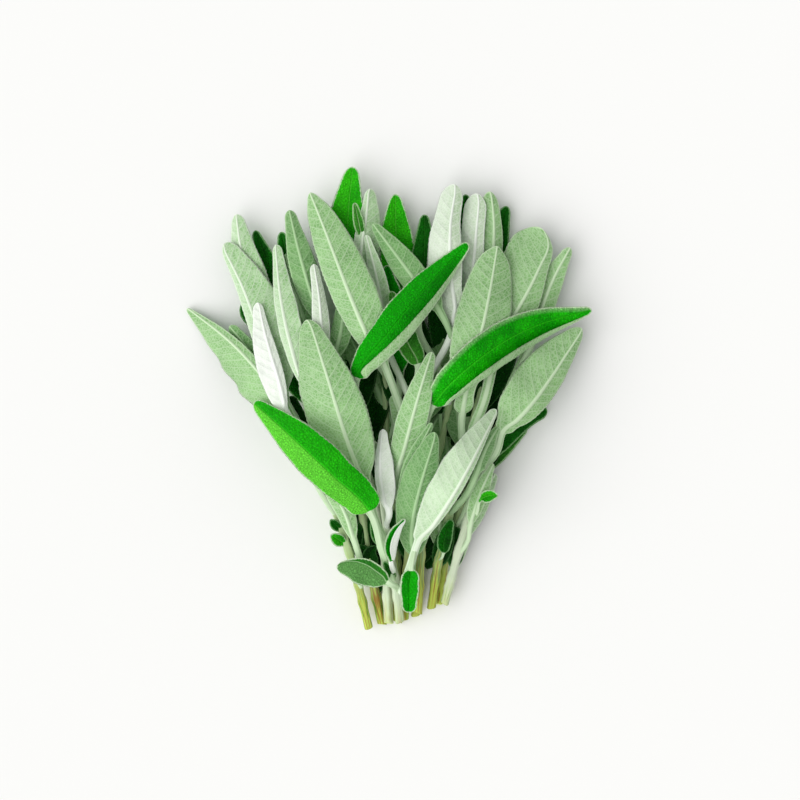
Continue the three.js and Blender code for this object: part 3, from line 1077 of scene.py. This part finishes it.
    def relief(self, known: Array, flat: Outline, veins: Veins, across: Array, rng: Random) -> Array:
        """Works out the sheet's rise: it folds at the midrib, swells between veins and waves at its margins.

        The fold follows the square root of the distance squared plus a small constant, the swelling a sine
        between two side veins, and the waves a sine along the leaf with its own length on each side.

        Args:
            known: the lengths of the line's own points.
            flat: the leaf laid flat.
            veins: its veins.
            across: each spot's place across the blade.
            rng: the leaf's own random numbers.

        Returns:
            The rise at each spot.
        """
        out, soft = np.abs(flat.reach), self.fold_softness
        place = np.clip(across / np.maximum(flat.half, 0.05)[:, None], -1.6, 1.6)
        crease = (np.sqrt(place**2 + soft**2) - soft) / (math.sqrt(1 + soft**2) - soft)
        fold = np.interp(flat.s, known, self.line.fold) * flat.opened * flat.half
        quilt = np.sin(math.pi * np.mod(veins.phase, 1))
        quilt = quilt * (0.6 + 0.4 * np.sin(2 * math.pi * (out / 2.6 + 0.37 * veins.phase)))
        swell = self.pucker_mm * flat.size * flat.inner * (quilt - 0.6 * veins.side)
        sway = self.wave_mm * flat.size * flat.opened[:, None] * np.abs(across / flat.half.max()) ** 2.5
        beat = np.where(flat.column > 0, rng.random(), rng.random()) * 2 * math.pi
        period = np.where(flat.column > 0, 15 + 5 * rng.random(), 15 + 5 * rng.random())
        wave = sway * np.sin(2 * math.pi * flat.along[:, None] / period + beat)
        return fold[:, None] * crease + swell + wave

    def faces(self, flat: Outline, veins: Veins, sheet: Array) -> tuple[Array, Array]:
        """Gives the sheet its thickness, with a groove over the midrib and a keel and ridges beneath.

        The surfaces stand off the sheet by half the thickness, which follows an ellipse across the stalk and
        a squarer curve across the blade.

        Args:
            flat: the leaf laid flat.
            veins: its veins.
            sheet: the points halfway between the two surfaces.

        Returns:
            The points of the upper surface and of the under one.
        """
        opened = flat.opened[:, None]
        normal = unit(np.cross(np.gradient(sheet, axis=1), np.gradient(sheet, axis=0)))
        edge = np.sqrt(np.maximum(1 - np.abs(flat.column) ** (2 + 4 * opened), 0))
        blade_half = self.blade_half_mm * (1 - 0.3 * flat.share)
        thick = self.stalk_half_mm + (blade_half - self.stalk_half_mm) * flat.opened
        rooted = 0.4 + 0.6 * smooth(flat.s / self.root_mm)
        thick = (thick * np.minimum(rooted, 0.35 + 0.65 * flat.rounding))[:, None] * edge
        channel = 0.22 * (1 - opened) * np.exp(-((flat.column / 0.5) ** 2))
        groove = (0.18 * veins.rib * opened + channel) * flat.rounding[:, None]
        keel = 0.75 * (1 - 0.8 * flat.share) * flat.size * flat.opened * flat.rounding
        ridges = keel[:, None] * veins.rib + 0.12 * veins.side * flat.inner * flat.size
        top = sheet + normal * (thick - groove)[..., None]
        under = sheet - normal * (thick + ridges)[..., None]
        top[:, [0, -1]] = sheet[:, [0, -1]]
        return top, under

    def marks(self, flat: Outline, veins: Veins, seed: float) -> dict[str, Array]:
        """Notes what the finishes read: a spot's place, side veins, distance from the margin, and a seed.

        Args:
            flat: the leaf laid flat.
            veins: its veins.
            seed: a number of the leaf's own.

        Returns:
            Named vectors, by row and place round the ring.
        """
        along, reach, out = flat.along[:, None], flat.reach, np.abs(flat.reach)
        bend = flat.half_right + self.roll_radius_mm * (self.roll_edge - 1) * flat.taper
        rolled = (flat.column > 0) & (flat.taper[:, None] > 0)
        aside = np.where(rolled, np.abs(reach - bend[:, None]), flat.total - out)
        base = np.where(flat.along > 0, flat.along + self.stalk_end_mm, self.far_mm)
        margin = np.minimum(aside, np.minimum(flat.s[-1] - flat.s, base)[:, None])
        phase = np.where(along > 0.5, veins.phase, 0.5)
        blade = np.stack([np.broadcast_to(along, out.shape), reach, phase], axis=-1)
        ribs = np.broadcast_to(veins.rib_half[:, None], out.shape)
        parts = np.stack([margin, ribs, np.full_like(out, seed)], axis=-1)
        return {"blade": ring_of(blade, blade), "parts": ring_of(parts, parts)}

    def build(self, palette: Palette) -> bpy.types.Object:
        """Makes the leaf's mesh, its midrib's curve plus the section across it, and dresses it.

        Args:
            palette: the materials.

        Returns:
            The piece.
        """
        rng = seeded(self.name)
        known = lengths(self.line.middle)
        flat = self.outline(known)
        across, height = self.section(flat)
        middle, right, over = self.midrib(known, flat)
        veins = self.veins(flat, rng)
        lifted = height + self.relief(known, flat, veins, across, rng)
        sheet = middle[:, None] + right[:, None] * across[..., None] + over[:, None] * lifted[..., None]
        rings = ring_of(*self.faces(flat, veins, sheet))
        second = np.zeros((len(rings) - 1, rings.shape[1]), bool)
        second[:, 2 * self.columns :] = True
        second[flat.along[:-1] < self.stalk_end_mm] = True
        mesh = closed_tube(self.name, rings, second, self.marks(flat, veins, 10 * rng.random()))
        finishes = [palette.of(self.green.value), palette.of(self.down.value)]
        return show(self.name, mesh, finishes)


# ---- Stems ----


@dataclass
class Stem:
    """One young sage stem: four-sided with rounded ribs, swollen at its nodes, and cut across at its base."""

    name: str
    line: StemLine
    nodes_mm: list[float]
    bark: Bark = Bark.GREEN

    around: int = 28
    step_mm: float = 0.9
    squareness: float = 0.07
    fibre: float = 0.035
    between_nodes: float = 0.85
    swelling: float = 0.22
    node_mm: float = 2.2
    slant: float = 0.35
    bevel_mm: float = 0.25
    cut_mm: float = 3.0
    tip_mm: float = 3.0
    face_shares: tuple[float, float] = (0.3, 0.9)

    def spokes(self, s: Array, angle: Array, spin: float) -> Array:
        """Works out how far the skin stands from the axis.

        That is the frame's radius times one plus small cosines of four and of eleven times the angle. It
        swells as a bell curve at each node, and ends in a quarter of a circle at the tip.

        Args:
            s: the rows' lengths from the cut.
            angle: the columns' angles.
            spin: how far the stem is turned.

        Returns:
            The distance, by row and column.
        """
        twist = spin + 0.4 * np.sin(s / 30)[:, None]
        ribs = self.squareness * np.cos(4 * angle + twist) + self.fibre * np.cos(11 * angle + 2 * twist)
        knots = np.array(self.nodes_mm)[:, None]
        bells = np.exp(-(((s - knots) / self.node_mm) ** 2)).max(axis=0)
        radius = np.interp(s, lengths(self.line.axis), self.line.radius)
        radius = radius * (self.between_nodes + self.swelling * bells) * (1 + 0.03 * np.sin(s / 7 + spin))
        tip = np.clip((s[-1] - s) / self.tip_mm, 0, 1)
        return (radius * np.sqrt(np.maximum(1 - (1 - tip) ** 2, 0.02)))[:, None] * (1 + ribs)

    def build(self, palette: Palette) -> bpy.types.Object:
        """Makes the stem's mesh, a ribbed tube round its axis whose cut end slants, and dresses it.

        Args:
            palette: the materials.

        Returns:
            The piece.
        """
        rng = seeded(self.name)
        known = lengths(self.line.axis)
        s = np.linspace(0, known[-1], int(known[-1] / self.step_mm))
        axis = spline(known, self.line.axis, s)
        ahead = unit(np.gradient(axis, s, axis=0))
        left = unit(np.cross(np.array([0.0, 0.0, 1.0]), ahead))
        up = np.cross(ahead, left)
        angle = np.linspace(0, 2 * math.pi, self.around, endpoint=False)
        spin = rng.random() * 2 * math.pi
        spoke = self.spokes(s, angle, spin)
        out = np.cos(angle)[None, :, None] * up[:, None] - np.sin(angle)[None, :, None] * left[:, None]
        wall = axis[:, None] + out * spoke[..., None]
        slant = self.slant * spoke[0].mean() * np.cos(angle - spin)
        lean = slant[None, :, None] * ahead[0]
        shares = np.array(self.face_shares)[:, None, None]
        face = axis[0] + out[0] * spoke[0][:, None] * shares + lean * shares
        wall += (lean + self.bevel_mm * ahead[0]) * smooth(1 - s / self.cut_mm)[:, None, None]
        rings = np.concatenate([face, wall])
        girth = np.abs(angle - math.pi) * self.line.radius[0]
        seed = 10 * rng.random()
        skin = np.stack(np.broadcast_arrays(s[:, None], girth, seed), axis=-1)
        flat = np.stack(np.broadcast_arrays(spoke[0] * shares[:, :, 0], 0.0, seed), axis=-1)
        second = np.zeros((len(rings) - 1, self.around), bool)
        second[0] = True
        mesh = closed_tube(self.name, rings, second, {"stem": np.concatenate([flat, skin])})
        return show(self.name, mesh, [palette.of(self.bark.value), palette.of(CutFace())])


# ---- The bunch ----


# How each leaf's two sides look. The rest are fresh above and medium beneath.
GREENS: dict[Green, str] = {
    Green.LIT: "front_spread",
    Green.EDGED: "front_right_arching",
    Green.BRIGHT: "back_centre_crown back_centre_top_broad far_right_bud_leaf",
    Green.GREYED: "front_cross",
    Green.MUTED: "centre_folded",
    Green.DARK: "back_right_outer back_right_inner back_left_high back_left_high_inner back_left_low "
    "far_right_back_low front_right_bud_leaf",
}
DOWNS: dict[Down, str] = {
    Down.WHITE: "left_outer front_pointed front_curled",
    Down.SILVER: "left_narrow centre_high back_right_straight",
    Down.PALE: "far_left_long left_middle far_left_top front_slender centre_narrow back_centre_crown_side",
    Down.DEEP: "front_right_low left_high left_inner centre_crossing back_left_middle far_left_side "
    "right_low front_right_narrow far_right_back_high",
}

# What sets these leaves' shapes apart. The rest have a plain Trait.
TRAITS: dict[str, Trait] = {
    "front_spread": Trait(bluntness=0.26, base_fullness=0.8, stalk=1.5),
    "front_slanting": Trait(rolled_mm=3.5, roll_middle=0.2, bluntness=0.2, base_fullness=0.5),
    "front_right_arching": Trait(rolled_mm=3.6, bluntness=0.16, base_fullness=0.55),
    "front_hanging": Trait(bluntness=0.8, base_fullness=0.95, stalk=1.0),
    "front_curled": Trait(rolled_mm=3.4, bluntness=0.1, stalk=1.1),
    "front_cross": Trait(bluntness=0.3, base_fullness=0.3, skew=0.15, tip_skew=0.9),
    "front_slender": Trait(bluntness=0.2, base_fullness=0.35, skew=-0.62, tip_skew=-0.62, stalk=1.6),
    "front_broad": Trait(bluntness=0.3, skew=0.06, tip_skew=-0.3, stalk=1.6),
    "far_right_broad": Trait(base_fullness=0.4, skew=-0.4, tip_skew=-0.3, early_mm=1, stalk=1.7),
    "right_outer": Trait(bluntness=0.68, skew=0.1, tip_skew=-0.85, stalk=2.2),
    "right_broad": Trait(bluntness=0.26, base_fullness=0.4, early_mm=12, stalk=1.5),
    "centre_broad": Trait(bluntness=0.12, skew=0.3, tip_skew=0.0, stalk=1.6),
    "far_left_spread": Trait(bluntness=0.06, skew=-0.72, tip_skew=-0.5, breadth=1.08),
    "far_left_long": Trait(bluntness=0.36, skew=0.5, tip_skew=0.5),
    "far_left_top": Trait(bluntness=0.36, skew=0.1, tip_skew=0.1, breadth=1.18),
    "far_left_side": Trait(bluntness=0.5),
    "back_left_low": Trait(bluntness=0.65),
    "left_outer": Trait(bluntness=0.36, skew=-0.5, tip_skew=-0.3, breadth=1.1, stalk=1.6),
    "left_middle": Trait(bluntness=0.34, skew=0.25, tip_skew=0.25, stalk=1.6),
    "left_high": Trait(bluntness=0.4, breadth=1.25),
    "back_centre_crown_side": Trait(bluntness=0.4, skew=0.4, tip_skew=0.4, breadth=1.25),
    "left_narrow": Trait(bluntness=0.45),
    "back_right_high": Trait(bluntness=0.4, skew=-0.2, tip_skew=-0.2),
    "back_right_straight": Trait(bluntness=0.7, skew=-0.3, tip_skew=-0.3),
    "centre_high": Trait(bluntness=0.6, skew=-0.4, tip_skew=-0.25, breadth=1.05),
    "centre_folded": Trait(base_fullness=0.7),
    "far_right_back_top": Trait(bluntness=0.3),
    "far_right_back_low": Trait(bluntness=0.6),
    "far_right_bud_leaf": Trait(bluntness=0.4, stalk=0.7, early_mm=2, lift_mm=8),
    "far_right_low": Trait(stalk=1.0),
    "far_left_low": Trait(shift_mm=-2.2),
    "back_centre_crown": Trait(bluntness=0.3),
    "back_centre_top_broad": Trait(bluntness=0.25),
    "front_pointed": Trait(bluntness=0.3, skew=0.5, tip_skew=0.3, shift_mm=-2.6),
    "front_right_low": Trait(base_fullness=0.5, skew=0.2, tip_skew=-0.3),
    "front_right_bud_leaf": Trait(bluntness=0.5, base_fullness=0.5, stalk=0.6),
}

INNER_LEAF = Trait(bluntness=0.4, stalk=1.1)

DOWNY_STEMS = ("stem_front", "stem_left", "stem_far_right")

# Leaves whose stalk is drawn as one arch: the stem that it leaves and how far up it, in millimetres.
SEATS: dict[str, tuple[str, float]] = {
    "front_cross": ("stem_front", 12),
    "front_curled": ("stem_front", 18),
    "front_hanging": ("stem_front_right", 34),
    "front_pointed": ("stem_front", 40),
    "front_right_bud_leaf": ("stem_right", 20),
    "centre_crossing": ("stem_back_right", 104),
}


@dataclass(frozen=True)
class Shoot:
    """A small or half-hidden leaf that grows from one of the frame's stems, by its place and heading.

    It grows at_mm up the stem and turns that many degrees to the left of it. Its tip is at a height of
    tip_mm.
    """

    stem: str
    at_mm: float
    turn: float
    stalk_mm: float
    blade_mm: float
    width_mm: float
    tip_mm: float
    shown: Green | Down = Green.SHADED

    stalk_shares: tuple[float, ...] = (0.0, 0.45, 0.9)
    blade_shares: tuple[float, ...] = (0.05, 0.14, 0.27, 0.43, 0.6, 0.76, 0.89, 1.0)
    stalk_half_mm: float = 0.9
    tip_half_mm: float = 0.6
    fold: float = 0.22
    back_mm: float = 3.0

    @property
    def upward_green(self) -> bool:
        """Returns whether its upper side looks up."""
        return isinstance(self.shown, Green)

    def line(self, stem: StemLine) -> LeafLine:
        """Draws the leaf's line: from the stem's axis, turning steadily away from the stem's own heading.

        Its half width is a sine of its length, drawn out towards the tip, and its height runs smoothly from
        the stem's axis to the height of its tip.

        Args:
            stem: the stem that it grows from.

        Returns:
            The leaf's line.
        """
        known = lengths(stem.axis)
        at = min(self.at_mm, known[-1] - self.back_mm)
        ends = [at - self.back_mm, at]
        before, root = np.stack([np.interp(ends, known, axis) for axis in stem.axis.T], axis=1)
        start = math.atan2(root[1] - before[1], root[0] - before[0])
        stalk, blade = np.array(self.stalk_shares), np.array(self.blade_shares)
        s = np.concatenate([self.stalk_mm * stalk, self.stalk_mm + self.blade_mm * blade])
        heading = start + math.radians(self.turn) * smooth(s / (0.7 * s[-1]) + 0.25)
        step = np.diff(s)[:, None] * np.stack([np.cos(heading), np.sin(heading)], axis=1)[1:]
        plan = root[:2] + np.concatenate([np.zeros((1, 2)), np.cumsum(step, axis=0)])
        height = root[2] + (self.tip_mm - root[2]) * smooth(s / s[-1])
        side = 1 if self.upward_green else -1
        rightward = side * np.stack([np.sin(heading), -np.cos(heading), np.zeros_like(heading)], axis=1)
        swell = np.sin(math.pi * blade**0.86).clip(0) ** 0.7 * self.width_mm / 2
        half = np.concatenate([np.full(len(stalk), self.stalk_half_mm), np.maximum(swell, self.tip_half_mm)])
        fold = np.concatenate([np.zeros(len(stalk)), np.full(len(blade), self.fold)])
        return LeafLine(np.column_stack([plan, height]), rightward, half, fold, len(stalk) - 1)


@dataclass(frozen=True)
class Filling:
    """The inner leaves that a stem carries in pairs: how far up they grow, and how wide each side turns."""

    stem: str
    first_mm: float
    last_mm: float
    leftward: float
    rightward: float

    pair_mm: float = 15.0
    green_share: float = 0.62

    def shoots(self) -> list[Shoot]:
        """Lists the pairs, one leaf to each side, at even steps up the stem with small seeded differences.

        Returns:
            The leaves.
        """
        rng = seeded(self.stem)
        found = []
        for at in np.arange(self.first_mm, self.last_mm, self.pair_mm):
            for turn in (self.leftward, -self.rightward):
                # Painted shade: each takes a darkened finish, as it lies in the bunch's shade.
                shown = Green.SHADED if rng.random() < self.green_share else Down.DEEP
                found.append(
                    Shoot(
                        self.stem,
                        at + 2 * rng.standard_normal(),
                        turn * (0.7 + 0.5 * rng.random()),
                        9 + 5 * rng.random(),
                        36 + 12 * rng.random(),
                        10 + 4 * rng.random(),
                        2.5 + 4 * rng.random(),
                        shown,
                    )
                )
        return found


FILLINGS = [
    Filling("stem_back_centre", 30, 112, 22, 20),
    Filling("stem_back_left", 34, 96, 14, 26),
    Filling("stem_back_right", 34, 104, 24, 16),
    Filling("stem_far_right_back", 30, 62, 30, 6),
    Filling("stem_centre", 46, 98, 30, 26),
    Filling("stem_left", 52, 92, 18, 24),
    Filling("stem_right", 44, 80, 24, 12),
]

# Small leaves: stem, how far up it, turn, stalk, blade, width, height of the tip, and the side shown,
# which is the upper side darkened with painted shade where none is given.
SMALL_LEAVES = [
    Shoot("stem_far_left", 43, 24, 1.5, 8, 5.4, 14, Green.DARK),
    Shoot("stem_far_left", 36.5, 36, 1.5, 9, 6.6, 15, Green.BRIGHT),
    Shoot("stem_far_left", 35, -168, 3, 17, 7, 2),
    Shoot("stem_left", 33, 164, 3, 18, 8, 2),
    Shoot("stem_back_left", 30, -164, 3, 20, 8, 2),
    Shoot("stem_back_centre", 27, 166, 3, 18, 8, 2),
    Shoot("stem_back_right", 28, 168, 3, 18, 8, 2),
    Shoot("stem_far_right_back", 26, 170, 3, 14, 7, 2),
    Shoot("stem_far_right_back", 52, -24, 8, 32, 7, 5, Green.MUTED),
    Shoot("stem_far_left", 78, -10, 6, 26, 9, 12),
    Shoot("stem_far_left", 90, 12, 8, 34, 9, 8, Green.DARK),
    Shoot("stem_left", 30, 14, 4, 14, 7, 12, Green.DARK),
    Shoot("stem_left", 26, -12, 3, 22, 9, 7),
    Shoot("stem_back_left", 22, -16, 4, 26, 10, 5),
    Shoot("stem_back_left", 24, 14, 4, 24, 10, 5),
    Shoot("stem_back_right", 20, 12, 4, 26, 9, 5),
    Shoot("stem_back_right", 18, -14, 4, 24, 9, 5),
    Shoot("stem_back_right", 120, 11, 34, 37, 8, 10, Green.DARK),
    Shoot("stem_back_centre", 122, 11, 50, 17, 5, 19, Green.MUTED),
    Shoot("stem_right", 14, -8, 3, 24, 9, 12),
    Shoot("stem_right", 22, 10, 4, 26, 10, 9, Down.MEDIUM),
    Shoot("stem_far_right", 12, 10, 3, 20, 8, 10),
    Shoot("stem_far_right", 8, -2, 6, 32, 7, 9, Down.PALE),
    Shoot("stem_far_right", 24, -12, 5, 34, 9, 8, Down.PALE),
    Shoot("stem_centre", 22, 10, 4, 26, 9, 8),
    Shoot("stem_centre", 74, 26, 4, 24, 9, 15, Down.MEDIUM),
    Shoot("stem_front", 60, -30, 3, 15, 5, 25, Down.PALE),
    Shoot("stem_front_right", 26, 16, 4, 20, 8, 20, Green.DARK),
    Shoot("stem_front", 16, 20, 2, 11, 4.5, 21, Green.DARK),
]


@dataclass
class Bunch:
    """All the sprigs, read from the frame and built round its stems and leaves."""

    palette: Palette
    stems: dict[str, StemLine] = field(default_factory=dict)
    roots: dict[str, list[float]] = field(default_factory=dict)

    lowest_node_mm: float = 12.0

    def slots(self) -> dict[str, str]:
        """Returns the frame's material slot of every node."""
        return {entry["node"]: entry["material_slot"] for entry in frame["record"]["subparts"]}

    def stem_of(self, leaf: str) -> str:
        """Finds the stem that a leaf grows from: the one whose sprig's name starts the leaf's.

        Args:
            leaf: the leaf's node.

        Returns:
            The stem's node.
        """
        sprig = leaf.removeprefix("leaf_")
        fitting = [name for name in self.stems if sprig.startswith(name.removeprefix("stem_") + "_")]
        return max(fitting, key=len)

    def build(self) -> None:
        """Builds every leaf, then every stem with its nodes where its leaves grow."""
        slots = self.slots()
        names = list(frame["nodes"])
        for name in names:
            if name.startswith("stem_"):
                self.stems[name] = StemLine.of_node(name)
                self.roots[name] = [self.lowest_node_mm]
        for name in names:
            if name.startswith("leaf_"):
                self.add_leaf(name, slots[name] == UPPER_SLOT)
        self.fill()
        for name, line in self.stems.items():
            bark = Bark.DOWNY if name in DOWNY_STEMS else Bark.GREEN
            piece = Stem(name.replace("stem_", "cut_stem_"), line, self.roots[name], bark).build(self.palette)
            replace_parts(piece, name)

    def fill(self) -> None:
        """Grows the inner leaves that close the bunch between the frame's leaves."""
        shoots = SMALL_LEAVES + [shoot for filling in FILLINGS for shoot in filling.shoots()]
        for number, shoot in enumerate(shoots, 1):
            self.roots[shoot.stem].append(shoot.at_mm)
            line = shoot.line(self.stems[shoot.stem])
            up = shoot.upward_green
            # The side not shown takes a finish darkened with painted shade.
            green, down = (shoot.shown, Down.DEEP) if up else (Green.SHADED, shoot.shown)
            coarse = dict(step_mm=0.9, columns=9, wave_mm=0.3)
            Leaf(f"inner_leaf_{number:02d}", line, green, down, up, INNER_LEAF, **coarse).build(self.palette)

    def add_leaf(self, name: str, upward_green: bool) -> None:
        """Builds one of the frame's leaves and notes where it grows from its stem.

        Args:
            name: the leaf's node.
            upward_green: whether its upper side looks up.
        """
        plain = name.removeprefix("leaf_")
        line = LeafLine.of_node(name)
        if plain in SEATS:
            parent, at = SEATS[plain]
            line = line.bent_from(self.stems[parent].axis[int(at / StemLine.ROW_MM)])
        else:
            parent = self.stem_of(name)
            gap = np.linalg.norm(self.stems[parent].axis - line.middle[0], axis=1)
            at = StemLine.ROW_MM * float(gap.argmin())
            line = line.rooted(self.stems[parent])
        self.roots[parent].append(at)
        green = next((tone for tone, those in GREENS.items() if plain in those.split()), Green.FRESH)
        down = next((tone for tone, those in DOWNS.items() if plain in those.split()), Down.MEDIUM)
        leaf = Leaf("sage_" + name, line, green, down, upward_green, TRAITS.get(plain, Trait()))
        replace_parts(leaf.build(self.palette), name)


# ---- The studio ----


@dataclass
class Studio:
    """A pale floor, soft light and a camera that looks straight down on the bunch."""

    palette: Palette
    floor_half_m: float = 1.6
    view_width_m: float = 0.352
    view_middle_m: tuple[float, float, float] = (0.00568, -0.0008, 0.025)
    lens_mm: float = 100.0
    sensor_mm: float = 36.0
    sky: float = 0.5
    key_watts: float = 2.3
    key_angle: float = math.radians(70)
    key_tilt: tuple[float, float, float] = (math.radians(14), math.radians(-38), 0.0)
    floor_lines: int = 9
    floor_gap_m: float = 0.0001

    def build(self) -> None:
        """Adds the floor, the sky light, the key light and the camera."""
        self.floor()
        self.lights()
        self.camera()
        view = bpy.context.scene.view_settings
        view.view_transform = "Standard"
        view.look = "None"

    def floor(self) -> None:
        """Lays the floor, a square grid of card."""
        reach = np.linspace(-self.floor_half_m, self.floor_half_m, self.floor_lines)
        x, y = np.meshgrid(reach, reach)
        spots = np.stack([x, y, np.full_like(x, -self.floor_gap_m)], axis=-1).reshape(-1, 3)
        grid = np.arange(x.size).reshape(x.shape)
        faces = np.stack([grid[:-1, :-1], grid[:-1, 1:], grid[1:, 1:], grid[1:, :-1]], axis=-1).reshape(-1, 4)
        mesh = bpy.data.meshes.new("floor")
        mesh.from_pydata(spots.tolist(), [], faces.tolist())
        mesh.materials.append(self.palette.of(StudioFloor()))
        floor = bpy.data.objects.new("floor", mesh)
        bpy.context.scene.collection.objects.link(floor)

    def lights(self) -> None:
        """Adds an even white sky and a broad soft key light from the left."""
        world = bpy.data.worlds.new("studio_sky")
        world.use_nodes = True
        sky = world.node_tree.nodes["Background"].inputs
        sky["Color"].default_value = (1.0, 1.0, 1.0, 1.0)
        sky["Strength"].default_value = self.sky
        bpy.context.scene.world = world
        lamp = bpy.data.lights.new("key", "SUN")
        lamp.energy = self.key_watts
        lamp.angle = self.key_angle
        key = bpy.data.objects.new("key", lamp)
        key.rotation_euler = self.key_tilt
        bpy.context.scene.collection.objects.link(key)

    def camera(self) -> None:
        """Hangs the camera over the bunch, as high as its lens needs for the view's width."""
        lens = bpy.data.cameras.new("camera")
        lens.lens = self.lens_mm
        lens.sensor_width = self.sensor_mm
        lens.clip_end = 10
        camera = bpy.data.objects.new("camera", lens)
        x, y, z = self.view_middle_m
        camera.location = (x, y, z + self.view_width_m * self.lens_mm / self.sensor_mm)
        bpy.context.scene.collection.objects.link(camera)
        bpy.context.scene.camera = camera


def main() -> None:
    """Builds the bunch and its studio."""
    logging.basicConfig(level=logging.INFO, format="%(message)s")
    palette = Palette()
    Bunch(palette).build()
    Studio(palette).build()


if __name__ == "__main__":
    main()
